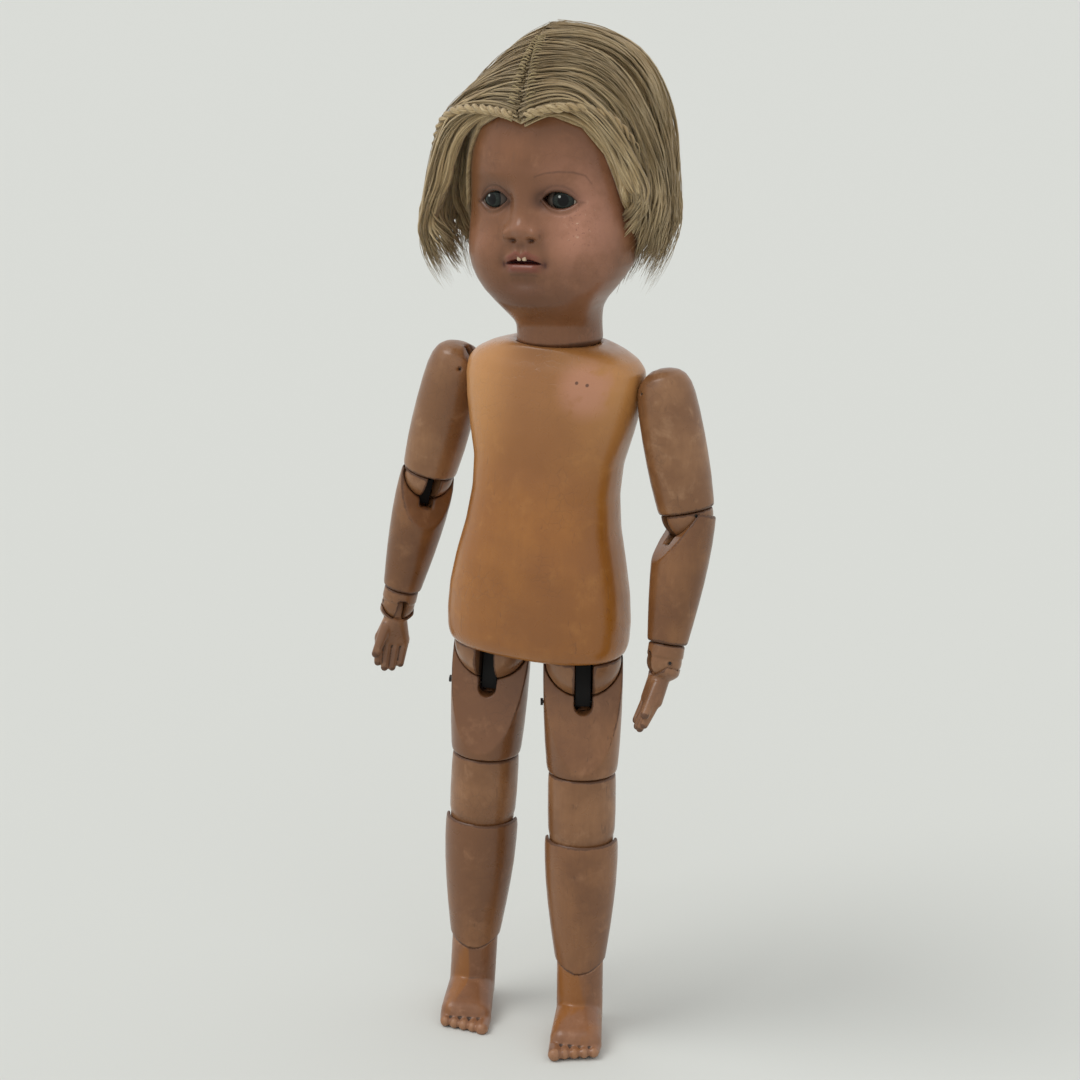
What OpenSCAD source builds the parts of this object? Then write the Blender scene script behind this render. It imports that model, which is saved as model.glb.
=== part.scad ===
// Jointed wooden doll with sprung ball joints, carved head and sewn wig.
// The doll faces -Y, its left side is +X, and the soles stand on z = 0.
// The rest pose is a natural standing pose: arms a little out, head straight.

/* [Torso] */
// Height of the hip ball centres above the floor
hip_z = 190; // [185:1:200]
// Half distance between the hip ball centres
hip_x = 24.3; // [23:0.1:27]
// How far the hip joints lie from the body's middle plane, front to back
hip_y = -4; // [-6:0.5:0]
// Height of the trunk from its flat underside to the neck seat
torso_h = 146; // [140:1:155]
// Half width of the hips
hip_half_w = 45; // [43:0.5:48]
// Half width of the waist
waist_half_w = 35; // [32:0.5:37]
// Half width of the chest under the shoulders
chest_half_w = 44; // [42:0.5:47]
// Half depth of the belly
belly_half_d = 30; // [28:0.5:33]
// How far the neck stands behind the middle plane
neck_y = 6; // [4:0.5:8]

/* [Head] */
// Radius of the neck
neck_r = 19.6; // [18:0.1:21]
// Radius of the rounded foot of the neck, which is the centre of nodding
neck_ball_r = 24; // [23:0.1:26]
// Height of the bare head above the neck seat
head_h = 134; // [128:1:140]
// Half width of the head at the temples
head_half_w = 39; // [37:0.5:41]
// Depth of the face in front of the neck axis
face_front = 34.5; // [32:0.5:37]
// Depth of the skull behind the neck axis
skull_back = 46; // [42:0.5:50]
// Radius of an eye dome
eye_r = 7; // [6:0.1:8]
// Half distance between the eyes
eye_x = 17.2; // [15:0.1:19]
// Half width of the wig over the ears
wig_half_w = 56; // [52:0.5:60]
// Share by which the wig stands out more on the doll's right than on its left
wig_skew = 0.05; // [0:0.01:0.08]
// Depth of the wig behind the neck axis
wig_back = 55; // [52:0.5:60]
// Height of the wig above the neck seat
wig_h = 145; // [141:0.5:150]
// How far the head leans to the doll's right, in degrees
head_lean = 4; // [0:0.5:6]

/* [Arms] */
// Distance of the shoulder pins from the middle plane
shoulder_x = 47.5; // [47:0.1:49]
// Drop of the shoulder pins below the neck seat
shoulder_drop = 18.8; // [16:0.1:21]
// How far the shoulder pins lie behind the middle plane
shoulder_y = 8; // [6:0.5:9]
// How far the arms hang outward, in degrees
arm_out = 14; // [13:0.5:18]
// Offset of the upper arm's axis outward from the shoulder pin
arm_offset = 7; // [6.5:0.1:8]
// Largest radius of the upper arm
upper_arm_r = 14.4; // [13:0.1:15]
// Distance from the shoulder pin down to the elbow pin
upper_arm_l = 58.5; // [56:0.5:64]
// Radius of the elbow ball
elbow_r = 12; // [11:0.1:12.5]
// Largest radius of the forearm
forearm_r = 13.6; // [13:0.1:14.5]
// Distance from the elbow pin to the forearm's flat end
forearm_l = 60; // [56:0.5:66]
// Radius of the forearm's flat end
forearm_end_r = 9.4; // [9:0.1:10.5]
// Radius of the wrist block
wrist_r = 8.4; // [8:0.1:8.8]
// Distance from the forearm's flat end to the wrist pin
wrist_l = 8.5; // [8:0.1:10]
// Length of the hand from the wrist pin to the finger tips
hand_l = 36; // [32:0.5:40]
// Width of the hand across the knuckles
hand_w = 18; // [16:0.2:20]
// Bend of the left elbow, in degrees
left_elbow_bend = 20; // [10:1:24]
// Bend of the right elbow, in degrees
right_elbow_bend = 3; // [0:1:20]
// Turn of the elbow balls inward from straight ahead, in degrees
elbow_turn = 45; // [30:1:50]
// Bend of the wrists, in degrees
wrist_bend = 10; // [0:1:16]

/* [Legs] */
// Radius of the hip ball
hip_r = 18; // [17:0.1:18.6]
// Radius of the thigh at its top
thigh_r = 18.8; // [18.7:0.1:20]
// Distance from the hip pin down to the thigh's flat end
thigh_l = 55.8; // [54:0.2:60]
// Radius of the thigh's flat end
thigh_end_r = 16.6; // [16:0.1:17.5]
// Radius of the knee block
knee_r = 16; // [15:0.1:16.5]
// Distance from the thigh's flat end to the knee pin
knee_l = 33.2; // [30:0.2:36]
// Largest radius of the calf
calf_r = 17.6; // [17.4:0.1:18.5]
// Distance from the knee pin down to the ankle pin
calf_l = 79; // [75:0.5:82]
// Radius of the calf's lower end
calf_end_r = 11.8; // [11:0.1:12.5]
// Radius of the rounded top of the foot, about the ankle pin
ankle_r = 16; // [14:0.1:17]
// Distance from the ankle pin forward to the toe tips
toe_reach = 37; // [34:0.5:42]
// Distance from the ankle pin back to the heel
heel_reach = 14; // [13.5:0.5:16]
// Width of the foot across the toes
foot_w = 25; // [23:0.5:27]
// Slant of the legs outward, in degrees
leg_out = 1.8; // [0:0.1:3]
// Turn of the left hip ball outward, in degrees
left_hip_turn = 28; // [20:1:32]
// Turn of the right hip ball outward, in degrees
right_hip_turn = -16; // [-20:1:0]
// Turn of the left knee block outward from the thigh, in degrees
left_knee_turn = -6; // [-15:1:0]
// Turn of the right knee block outward from the thigh, in degrees
right_knee_turn = -6; // [-15:1:0]
// Radius of the stand hole in each sole
stand_hole_r = 2.5; // [2:0.1:3]
// Depth of the stand hole
stand_hole_l = 9; // [6:0.5:10]

/* [Joints] */
// Slant of the hip facet, in degrees
hip_facet = 18; // [16:1:24]
// Slant of the elbow facet, in degrees
elbow_facet = 28; // [24:1:32]
// Slant of the knee facet, in degrees
knee_facet = 26; // [22:1:30]
// Width of the slot in a hip ball and a knee block
leg_slot_w = 8.6; // [8:0.1:9.5]
// Width of the slot in an elbow ball
arm_slot_w = 6.6; // [6:0.1:7.5]
// Width of the slot in a wrist block
wrist_slot_w = 4.4; // [4:0.1:5]
// Gap between wooden surfaces that turn on each other
gap = 0.3; // [0.25:0.01:0.4]
// Radius of the steel rods in the legs and the neck
rod_r = 1.6; // [1.4:0.05:1.8]
// Radius of the steel rods in the arms
arm_rod_r = 1.2; // [1:0.05:1.3]
// Radius of the large cross pins
pin_r = 1.1; // [1:0.05:1.3]
// Radius of the small cross pins
small_pin_r = 0.8; // [0.7:0.05:0.9]
// Running fit of the pins in the steel eyes
fit = 0.08; // [0.06:0.01:0.1]

/* [Hidden] */
$fn = 64;

// Colours of the paint, the enamel, the steel and the hair
flesh = [0.60, 0.43, 0.33];
enamel = [0.76, 0.54, 0.34];
face_paint = [0.70, 0.50, 0.40];
steel = [0.45, 0.44, 0.42];
black = [0.06, 0.06, 0.06];
hair = [0.62, 0.55, 0.42];

// One overrun serves all cuts
over = 60;
// Flat seats lie this far above the ball centres
seat = 1.8;
// Neck
neck_seat_z = hip_z + seat + torso_h;
neck_ball_drop = sqrt(pow(neck_ball_r, 2) - pow(neck_r, 2));
neck_pivot_z = neck_seat_z + neck_ball_drop + gap;
shoulder_z = neck_seat_z - shoulder_drop;
neck_bore_r = rod_r + gap;
neck_hollow_r = 8;
// Springs and their pockets
spring_wall = 1.4;
spring_r = rod_r + gap + spring_wall;
washer_t = 1.2;
washer_r = spring_r + gap;
pocket_r = washer_r + gap;
neck_spring_l = 20;
hip_spring_l = 22;
arm_spring_r = arm_rod_r + gap + spring_wall;
arm_washer_r = arm_spring_r + gap;
arm_pocket_r = arm_washer_r + gap;
shoulder_spring_l = 18;
elbow_spring_l = 16;
spring_turns = 6;
// Steel eyes round the pins
eye_wall = 1.6;
eye_t = 2.4;
small_eye_t = 1.8;
cheek_t = 1.6;

// Rounded outline of a limb: shares of radius and of length, from the top to the lower end
upper_arm_shares = [[0, 0], [0.30, 0.006], [0.55, 0.025], [0.74, 0.06], [0.87, 0.12], [0.94, 0.20],
    [0.98, 0.32], [1, 0.48], [1, 0.64], [0.98, 0.78], [0.94, 0.90], [0.915, 0.97], [0.88, 1], [0, 1]];
forearm_shares = [[0, 0], [0.94, 0], [0.975, 0.015], [0.995, 0.1], [1, 0.22], [0.98, 0.36], [0.93, 0.52],
    [0.86, 0.68], [0.78, 0.83], [0.71, 0.95], [0.69, 0.985], [0.65, 1], [0, 1]];
thigh_shares = [[0, 0], [0.985, 0], [1, 0.02], [1, 0.25], [0.985, 0.5], [0.95, 0.75], [0.905, 0.94],
    [0.88, 0.985], [0.84, 1], [0, 1]];
knee_shares = [[0, 0], [0.96, 0], [1, 0.04], [1.015, 0.2], [1.015, 0.6], [1, 0.86], [0.975, 0.93], [0.91,
    0.965],
    [0, 0.965]];
calf_shares = [[0, 0], [0.93, 0], [0.985, 0.01], [1, 0.06], [0.995, 0.16], [0.965, 0.3], [0.905, 0.44],
    [0.83, 0.58], [0.755, 0.7], [0.69, 0.8], [0.67, 0.88], [0.67, 1], [0, 1]];

function side_value(side, left, right) = side > 0 ? left : right;

// Points of a revolved limb that starts at height top and hangs down by length
function hang(shares, radius, top, length) = [for (s = shares) [s[0] * radius, top - s[1] * length]];

// Closed ring of n points at height z: half width a, front depth f and back depth b about (0, y),
// with corner power p (2 is an ellipse, more is squarer)
function signed_root(v, p) = sign(v) * pow(abs(v), 2 / p);
function ring(n, z, a, f, b, y, p) = [for (i = [0 : n - 1])
    let (t = 360 * i / n, c = signed_root(cos(t), p), s = signed_root(sin(t), p))
    [a * c, y + (s < 0 ? f : b) * s, z]];

// Closed skin over a stack of rings of equal point counts, lowest first
module skin(rings) {
    n = len(rings[0]);
    m = len(rings);
    polyhedron(
        points = [for (r = rings) each r],
        faces = concat(
            [[for (i = [0 : n - 1]) i]],
            [for (k = [0 : m - 2]) for (i = [0 : n - 1])
                [k * n + i, (k + 1) * n + (i + 1) % n, k * n + (i + 1) % n]],
            [for (k = [0 : m - 2]) for (i = [0 : n - 1])
                [k * n + i, (k + 1) * n + i, (k + 1) * n + (i + 1) % n]],
            [[for (i = [n - 1 : -1 : 0]) (m - 1) * n + i]]));
}

// Frames: the row's origin lies on the floor below the middle of the whole doll's box, and
// each joint frame has its pin along X and the parent above
origin_x = -4.66;
origin_y = 9.68;
module at_middle() {
    translate([-origin_x, -origin_y, 0]) children();
}
// Middle frame leaned about the middle of the neck's foot, for the head and the neck's spring and rod
module at_neck() {
    at_middle() translate([0, neck_y, neck_pivot_z]) rotate([0, -head_lean, 0])
        translate([0, -neck_y, -neck_pivot_z]) children();
}
module mirrored(side) {
    mirror([side > 0 ? 0 : 1, 0, 0]) children();
}
module at_shoulder(side) {
    at_middle() mirrored(side) translate([shoulder_x, shoulder_y, shoulder_z]) children();
}
module at_upper_arm(side) {
    at_shoulder(side) rotate([0, -arm_out, 0]) children();
}
module at_elbow_ball(side) {
    at_upper_arm(side) translate([arm_offset, 0, -upper_arm_l]) rotate([0, 0, -elbow_turn]) children();
}
module at_forearm(side) {
    at_elbow_ball(side) rotate([-side_value(side, left_elbow_bend, right_elbow_bend), 0, 0]) children();
}
module at_wrist(side) {
    at_forearm(side) translate([0, 0, -forearm_l - wrist_l]) children();
}
module at_hand(side) {
    at_wrist(side) rotate([-wrist_bend, 0, 0]) children();
}
module at_hip_seat(side) {
    at_middle() mirrored(side) translate([hip_x, hip_y, hip_z]) rotate([0, -leg_out, 0]) children();
}
module at_hip(side) {
    at_hip_seat(side) rotate([0, 0, side_value(side, left_hip_turn, right_hip_turn)]) children();
}
module at_knee(side) {
    at_hip(side) translate([0, 0, -thigh_l - knee_l])
        rotate([0, 0, side_value(side, left_knee_turn, right_knee_turn)]) children();
}
module at_ankle(side) {
    at_knee(side) translate([0, 0, -calf_l]) children();
}

// Turned piece whose seam lies clear of its pins, its slot and its facet
module turned() {
    rotate([0, 0, 45]) children();
}

// Ball turned from short straight cuts, which shapes the cups
module lathe_ball(radius) {
    turned() rotate_extrude() polygon([for (a = [-90 : 7.5 : 90]) radius * [cos(a), sin(a)]]);
}

// Half space in front of a plane through the X axis that slants down and forward
module front_of_facet(slant) {
    rotate([-slant, 0, 0]) translate([-over, -2 * over, -over]) cube(2 * over);
}
// Half space above a height
module above(z) {
    translate([-over, -over, z]) cube(2 * over);
}

// Wooden ball with a flat top, a slot open to the front, and a hole for its cross pin
module slotted_ball(radius, slot, pin, back) {
    difference() {
        turned() sphere(radius);
        above(seat - gap);
        translate([-slot / 2, -2 * over + back, -over]) cube([slot, 2 * over, 2 * over]);
        rotate([0, 90, 0]) cylinder(r = pin, h = 2 * over, center = true);
    }
}
// Steel pin along X whose ends lie just inside a ball
module cross_pin(radius, pin) {
    rotate([0, 90, 0]) cylinder(r = pin, h = 2 * (radius - gap), center = true);
}
// Steel rod that rises from an eye on a pin to a washer
module eye_rod(rod, pin, t, top) {
    difference() {
        union() {
            rotate([0, 90, 0]) cylinder(r = pin + fit + eye_wall, h = t, center = true);
            cylinder(r = rod, h = top);
        }
        rotate([0, 90, 0]) cylinder(r = pin + fit, h = over, center = true);
    }
}
// Shallow round recess above a pin, in which the ends of a link turn freely
module link_recess(half_w, eye_r) {
    cylinder(r = norm([half_w, eye_r]) + gap, h = eye_r + gap);
}
module washer(rod, radius, z) {
    translate([0, 0, z]) cylinder(r = radius, h = washer_t);
}
// Coil seen as a ribbed sleeve, standing on z = 0
module spring(inner, outer, length) {
    pitch = length / spring_turns;
    rotate_extrude() polygon(concat(
        [[inner, 0]],
        [for (k = [0 : spring_turns - 1]) each [[outer - spring_wall / 2, k * pitch], [outer,
            (k + 0.5) * pitch]]],
        [[outer - spring_wall / 2, length], [inner, length]]));
}

// Trunk: shares of the trunk's height, half width, half depth and the middle's shift back
torso_rings = [
    [0.000, hip_half_w * 0.91, belly_half_d * 0.83, hip_y],
    [0.015, hip_half_w * 0.965, belly_half_d * 0.92, hip_y],
    [0.045, hip_half_w * 0.993, belly_half_d * 0.973, hip_y],
    [0.11, hip_half_w, belly_half_d, hip_y],
    [0.20, hip_half_w * 0.975, belly_half_d * 1.01, hip_y],
    [0.30, hip_half_w * 0.91, belly_half_d, hip_y * 0.9],
    [0.41, (hip_half_w + 4 * waist_half_w) / 5, belly_half_d * 0.96, hip_y * 0.6],
    [0.52, waist_half_w, belly_half_d * 0.92, hip_y * 0.2],
    [0.62, waist_half_w * 1.02, belly_half_d * 0.90, neck_y * 0.15],
    [0.72, (waist_half_w + chest_half_w) / 2, belly_half_d * 0.91, neck_y * 0.4],
    [0.81, chest_half_w * 0.965, belly_half_d * 0.91, neck_y * 0.65],
    [0.88, chest_half_w, belly_half_d * 0.87, neck_y * 0.8],
    [0.925, chest_half_w * 0.985, belly_half_d * 0.82, neck_y * 0.9],
    [0.955, chest_half_w * 0.90, belly_half_d * 0.77, neck_y],
    [0.98, chest_half_w * 0.74, belly_half_d * 0.735, neck_y],
    [0.993, chest_half_w * 0.60, belly_half_d * 0.72, neck_y],
    [1.000, chest_half_w * 0.50, belly_half_d * 0.69, neck_y]];
torso_points = 40;
torso_power = 2.35;
torso_base_z = hip_z + seat;
hollow_r = 18.5;
hollow_floor = 14;
hollow_roof = 24;

module torso_body() {
    skin([for (s = torso_rings)
        ring(torso_points, torso_base_z + s[0] * torso_h, s[1], s[2], s[2], s[3], torso_power)]);
}
module torso() {
    color(enamel) difference() {
        at_middle() torso_body();
        at_middle() translate([0, (hip_y + neck_y) / 2, torso_base_z + hollow_floor])
            cylinder(r = hollow_r, h = torso_h - hollow_floor - hollow_roof);
        // Neck: dished seat, rod bore and spring pocket
        at_neck() translate([0, neck_y, 0]) {
            translate([0, 0, neck_pivot_z]) sphere(neck_ball_r + gap);
            translate([0, 0, torso_base_z + torso_h / 2]) cylinder(r = neck_bore_r, h = torso_h);
            translate([0, 0, torso_base_z + torso_h / 2])
                cylinder(r = pocket_r, h = neck_pocket_z - torso_base_z - torso_h / 2);
        }
        for (side = [1, -1]) {
            // Hip: flat seat, rod bore and spring pocket, square to the slanting leg
            at_hip_seat(side) {
                translate([0, 0, seat - over]) cylinder(r = thigh_r + seat, h = over);
                cylinder(r = rod_r + gap, h = hollow_floor + over / 4);
                link_recess(link_half_w, leg_eye_r);
                translate([0, 0, hip_pocket_z]) cylinder(r = pocket_r, h = hip_spring_l + 4 * washer_t);
            }
            // Shoulder: flat seat, rod bore and spring pocket
            at_shoulder(side) {
                translate([shoulder_face, 0, 0]) rotate([0, 90, 0])
                    cylinder(r = upper_arm_r * 1.1, h = over);
                rotate([0, -90, 0]) cylinder(r = arm_rod_r + gap, h = over / 2);
                translate([shoulder_pocket, 0, 0]) rotate([0, -90, 0])
                    cylinder(r = arm_pocket_r, h = over / 2);
            }
        }
    }
}
neck_wall = 5;
neck_pocket_z = neck_pivot_z - neck_ball_r - gap - neck_wall;
hip_wall = 9;
hip_pocket_z = seat + hip_wall;
shoulder_face = -4.2;
shoulder_wall = 5;
shoulder_pocket = shoulder_face - shoulder_wall;

module torso_springs() {
    color(steel) {
        at_neck() translate([0, neck_y, neck_pocket_z - neck_spring_l])
            spring(neck_bore_r, spring_r, neck_spring_l);
        for (side = [1, -1]) {
            at_hip_seat(side) translate([0, 0, hip_pocket_z]) spring(rod_r + gap, spring_r, hip_spring_l);
            at_shoulder(side) translate([shoulder_pocket, 0, 0]) rotate([0, -90, 0])
                spring(arm_rod_r + gap, arm_spring_r, shoulder_spring_l);
        }
    }
}

// Head and neck
neck_rod_l = neck_pivot_z - neck_pocket_z + neck_spring_l + gap;
module neck_link() {
    color(steel) at_neck() translate([0, neck_y, neck_pivot_z]) {
        mirror([0, 0, 1]) {
            eye_rod(rod_r, pin_r, eye_t, neck_rod_l);
            washer(rod_r, washer_r, neck_rod_l);
        }
    }
}
neck_pin_l = neck_r * 1.8;
module neck_pin() {
    color(steel) at_neck() translate([0, neck_y, neck_pivot_z]) rotate([0, 90, 0])
        cylinder(r = pin_r, h = neck_pin_l, center = true);
}

// Face outline: shares of the head's height, half width, front depth and back depth
head_shares = [
    [0.080, 0.49, 0.58, 0.43], [0.100, 0.56, 0.74, 0.44], [0.122, 0.66, 0.92, 0.50], [0.150, 0.76, 1.03,
        0.60],
    [0.185, 0.85, 1.06, 0.72], [0.225, 0.915, 1.03, 0.83], [0.270, 0.96, 1.03, 0.91], [0.315, 0.985, 1.04,
        0.96],
    [0.360, 1.00, 1.03, 0.99], [0.400, 1.00, 1.02, 1.01], [0.440, 1.00, 1.00, 1.02], [0.480, 1.00, 0.97,
        1.02],
    [0.530, 1.00, 0.97, 1.02], [0.590, 0.99, 0.97, 1.01], [0.660, 0.965, 0.95, 0.98], [0.730, 0.92, 0.89,
        0.93],
    [0.800, 0.84, 0.79, 0.84], [0.860, 0.73, 0.66, 0.72], [0.910, 0.59, 0.51, 0.58], [0.950, 0.43, 0.36,
        0.42],
    [0.980, 0.26, 0.21, 0.26], [1.000, 0.05, 0.05, 0.05]];
head_points = 44;
// Raised and hollow places of the face: share of width, share of height, spread, and how far they stand out
face_bumps = [
    [0, 0.405, 0.10, 0.050, 0.150], [0, 0.370, 0.13, 0.030, 0.110], [0, 0.44, 0.08, 0.05, 0.060],
    [0.10, 0.355, 0.06, 0.024, 0.050], [-0.10, 0.355, 0.06, 0.024, 0.050],
    [0.44, 0.515, 0.20, 0.045, -0.085], [-0.44, 0.515, 0.20, 0.045, -0.085],
    [0.55, 0.33, 0.22, 0.070, 0.050], [-0.55, 0.33, 0.22, 0.070, 0.050],
    [0, 0.322, 0.18, 0.018, 0.060], [0, 0.266, 0.18, 0.020, 0.050], [0, 0.295, 0.22, 0.012, -0.035],
    [0, 0.160, 0.26, 0.040, 0.070]];
function bump(x, h, b) =
    b[4] * exp(-pow((x - b[0]) / b[2], 2) - pow((h - b[1]) / b[3], 2));
function sum(list, i = 0) = i >= len(list) ? 0 : list[i] + sum(list, i + 1);
function relief(x, h) = sum([for (b = face_bumps) bump(x, h, b)]);
function head_ring(s, grow) = [for (i = [0 : head_points - 1])
    let (t = 360 * i / head_points, x = s[1] * cos(t),
        depth = sin(t) < 0 ? face_front * (s[2] + relief(x, s[0]) * pow(-sin(t), 2)) : skull_back * s[3])
    [(head_half_w * s[1] + grow) * cos(t), neck_y + (depth + grow) * sin(t),
        neck_seat_z + head_h * s[0] + grow * s[0]]];
module head_body(grow) {
    skin([for (s = head_shares) head_ring(s, grow)]);
}
module head() {
    color(face_paint) at_neck() difference() {
        union() {
            head_body(0);
            translate([0, neck_y, 0]) {
                translate([0, 0, neck_seat_z + gap]) cylinder(r = neck_r, h = head_h * head_shares[2][0]);
                intersection() {
                    translate([0, 0, neck_pivot_z]) sphere(neck_ball_r);
                    translate([0, 0, neck_seat_z - over + gap]) cylinder(r = neck_r, h = over + gap);
                }
            }
        }
        translate([0, neck_y, neck_pivot_z - over]) cylinder(r = neck_hollow_r, h = over + neck_hollow_r);
        translate([0, neck_y, neck_pivot_z]) rotate([0, 90, 0])
            cylinder(r = pin_r, h = neck_pin_l, center = true);
        eye_places() sphere(eye_r + gap / 2);
        teeth_place() cube([tooth_w * 2 + 3 * gap, tooth_d + 2 * gap, tooth_h + 2 * gap], center = true);
    }
}
eye_z = neck_seat_z + head_h * 0.4955;
eye_sink = 2.3;
module eye_places() {
    for (side = [1, -1])
        translate([side * eye_x, neck_y - face_front * 0.90 + eye_r + eye_sink, eye_z]) children();
}
module eyes() {
    color("white") at_neck() eye_places() sphere(eye_r);
}
tooth_w = 2.3;
tooth_h = 2.4;
tooth_d = 2.4;
mouth_z = neck_seat_z + head_h * 0.3;
module teeth_place() {
    translate([0, neck_y - face_front * 1.01, mouth_z]) children();
}
module teeth() {
    color("ivory") at_neck() teeth_place() for (side = [1, -1])
        translate([side * (tooth_w + gap) / 2, 0, 0]) cube([tooth_w, tooth_d, tooth_h], center = true);
}

// Wig: shares of the wig's height, half width, front depth and back depth
wig_shares = [
    [0.235, 0.88, 0.30, 0.84], [0.27, 0.93, 0.42, 0.90], [0.33, 0.985, 0.56, 0.95], [0.40, 1.00, 0.66, 0.98],
    [0.48, 1.00, 0.72, 1.00], [0.56, 0.985, 0.76, 1.00], [0.64, 0.94, 0.78, 0.99], [0.72, 0.875, 0.77, 0.96],
    [0.80, 0.78, 0.72, 0.89], [0.87, 0.66, 0.61, 0.78], [0.92, 0.53, 0.49, 0.65], [0.96, 0.38, 0.35, 0.48],
    [0.985, 0.22, 0.20, 0.30], [1.00, 0.06, 0.06, 0.08]];
wig_points = 40;
wig_wave = 0.035;
wig_locks = 9;
hairline_z = neck_seat_z + head_h * 0.785;
opening_half_w = head_half_w * 0.97;
wig_grow = 0.4;
wig_front = face_front * 1.25;
function wig_depth(s, t) = sin(t) < 0 ? wig_front * s[2] * (1 - 2 * wig_skew * cos(t)) : wig_back * s[3];
module wig() {
    color(hair) at_neck() difference() {
        skin([for (s = wig_shares) [for (i = [0 : wig_points - 1])
            let (t = 360 * i / wig_points, wave = 1 + wig_wave * (1 - s[0]) * cos(wig_locks * t))
            [wig_half_w * s[1] * wave * (cos(t) - wig_skew * pow(cos(t), 2)),
             neck_y + wig_depth(s, t) * wave * sin(t),
             neck_seat_z + wig_h * s[0]]]]);
        head_body(wig_grow);
        // Opening for the face, arched at the hairline
        translate([0, neck_y - head_half_w * 0.12, 0]) rotate([90, 0, 0]) linear_extrude(over) union() {
            translate([-opening_half_w, 0]) square([2 * opening_half_w, hairline_z - opening_half_w * 0.55]);
            intersection() {
                translate([0, hairline_z - opening_half_w * 1.25]) circle(opening_half_w * 1.25);
                translate([-opening_half_w, 0]) square([2 * opening_half_w, over * 10]);
            }
        }
        // Room for the neck below the skull
        translate([0, neck_y, neck_seat_z]) cylinder(r = head_half_w * 0.93, h = wig_h * wig_shares[3][0]);
    }
}

// Shoulder: rod along X with an eye on the fore and aft pin, and a washer behind its spring
shoulder_rod_l = -shoulder_pocket + shoulder_spring_l + gap;
module shoulder_link(side) {
    color(steel) at_shoulder(side) rotate([0, -90, 0]) rotate([0, 0, 90]) {
        eye_rod(arm_rod_r, small_pin_r, small_eye_t, shoulder_rod_l);
        washer(arm_rod_r, arm_washer_r, shoulder_rod_l);
    }
}
shoulder_slot_w = 4.2;
shoulder_pin_l = 19;
module shoulder_pin(side) {
    color(black) at_upper_arm(side) rotate([90, 0, 0])
        cylinder(r = small_pin_r, h = shoulder_pin_l, center = true);
}
arm_crown = 9.5;
shoulder_lift = 30;
module upper_arm(side) {
    color(flesh) difference() {
        at_upper_arm(side) translate([arm_offset, 0, 0])
            rotate_extrude() polygon(hang(upper_arm_shares, upper_arm_r, arm_crown,
                arm_crown + upper_arm_l - seat));
        // Flat inner face against the trunk, and the chamfer that lets the arm rise
        at_shoulder(side) {
            translate([shoulder_face + gap - 2 * over, -over, -over]) cube(2 * over);
            rotate([0, shoulder_lift + 1, 0])
                translate([shoulder_face + gap - 2 * over, -over, -over]) cube(2 * over);
        }
        at_upper_arm(side) {
            // Slot for the eye and its rod, open to the top and to the trunk
            translate([-over, -shoulder_slot_w / 2, -eye_wall * 3])
                cube([over + eye_wall * 3, shoulder_slot_w, over]);
            rotate([90, 0, 0]) cylinder(r = small_pin_r, h = 2 * over, center = true);
            // Bore and pocket for the elbow rod and its spring
            translate([arm_offset, 0, -upper_arm_l]) {
                cylinder(r = arm_rod_r + gap, h = elbow_pocket_z + elbow_spring_l);
                link_recess(arm_link_half_w, arm_eye_r);
                translate([0, 0, elbow_pocket_z])
                    cylinder(r = arm_pocket_r, h = elbow_spring_l + 4 * washer_t);
            }
        }
    }
}
elbow_wall = 8;
elbow_pocket_z = seat + elbow_wall;
module elbow_spring(side) {
    color(steel) at_elbow_ball(side) translate([0, 0, elbow_pocket_z])
        spring(arm_rod_r + gap, arm_spring_r, elbow_spring_l);
}
module elbow_rod(side) {
    color(steel) at_elbow_ball(side) {
        eye_rod(arm_rod_r, small_pin_r, small_eye_t, elbow_pocket_z + elbow_spring_l + gap);
        washer(arm_rod_r, arm_washer_r, elbow_pocket_z + elbow_spring_l + gap);
    }
}
module elbow_ball(side) {
    color(flesh) at_elbow_ball(side) slotted_ball(elbow_r, arm_slot_w, small_pin_r, arm_eye_r + gap);
}
arm_eye_r = small_pin_r + fit + eye_wall;
module elbow_pin(side) {
    color(black) at_elbow_ball(side) cross_pin(elbow_r, small_pin_r);
}

// Link in the child limb: two cheeks on the parent's pin and a shank below, ending in an eye or a stop
module fork(pin, eye_r, half_gap, t, shank_r, length) {
    difference() {
        union() {
            for (side = [1, -1])
                translate([side * (half_gap + t / 2), 0, 0]) {
                    rotate([0, 90, 0]) cylinder(r = eye_r, h = t, center = true);
                    translate([-t / 2, -shank_r, -length / 2 - eye_r / 2])
                        cube([t, 2 * shank_r, length / 2 + eye_r / 2]);
                }
            translate([-half_gap - t, -shank_r, -length])
                cube([2 * (half_gap + t), 2 * shank_r, length - eye_r - 2 * gap]);
        }
        rotate([0, 90, 0]) cylinder(r = pin + fit, h = over, center = true);
    }
}
elbow_link_l = 15;
module elbow_link(side) {
    color(black) at_forearm(side)
        fork(small_pin_r, arm_eye_r, arm_rod_r + gap, arm_cheek_t, arm_rod_r, elbow_link_l);
}
arm_cheek_t = 1.2;
arm_link_half_w = arm_rod_r + gap + arm_cheek_t;
ear_rise = seat - 2 * gap;
module forearm(side) {
    color(flesh) at_forearm(side) difference() {
        turned() rotate_extrude() polygon(hang(forearm_shares, forearm_r, ear_rise, ear_rise + forearm_l));
        lathe_ball(elbow_r + gap);
        front_of_facet(elbow_facet);
        // Slot for the link, open to the facet
        translate([-arm_slot_w / 2, -over + arm_eye_r, -elbow_link_l - gap])
            cube([arm_slot_w, over, elbow_link_l]);
        // Bore and pocket for the wrist rod
        translate([0, 0, -over - elbow_link_l]) cylinder(r = arm_rod_r + gap, h = over);
        translate([0, 0, -elbow_link_l - gap - wrist_pocket_l])
            cylinder(r = arm_pocket_r, h = wrist_pocket_l);
    }
}
wrist_pocket_l = 12;
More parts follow.
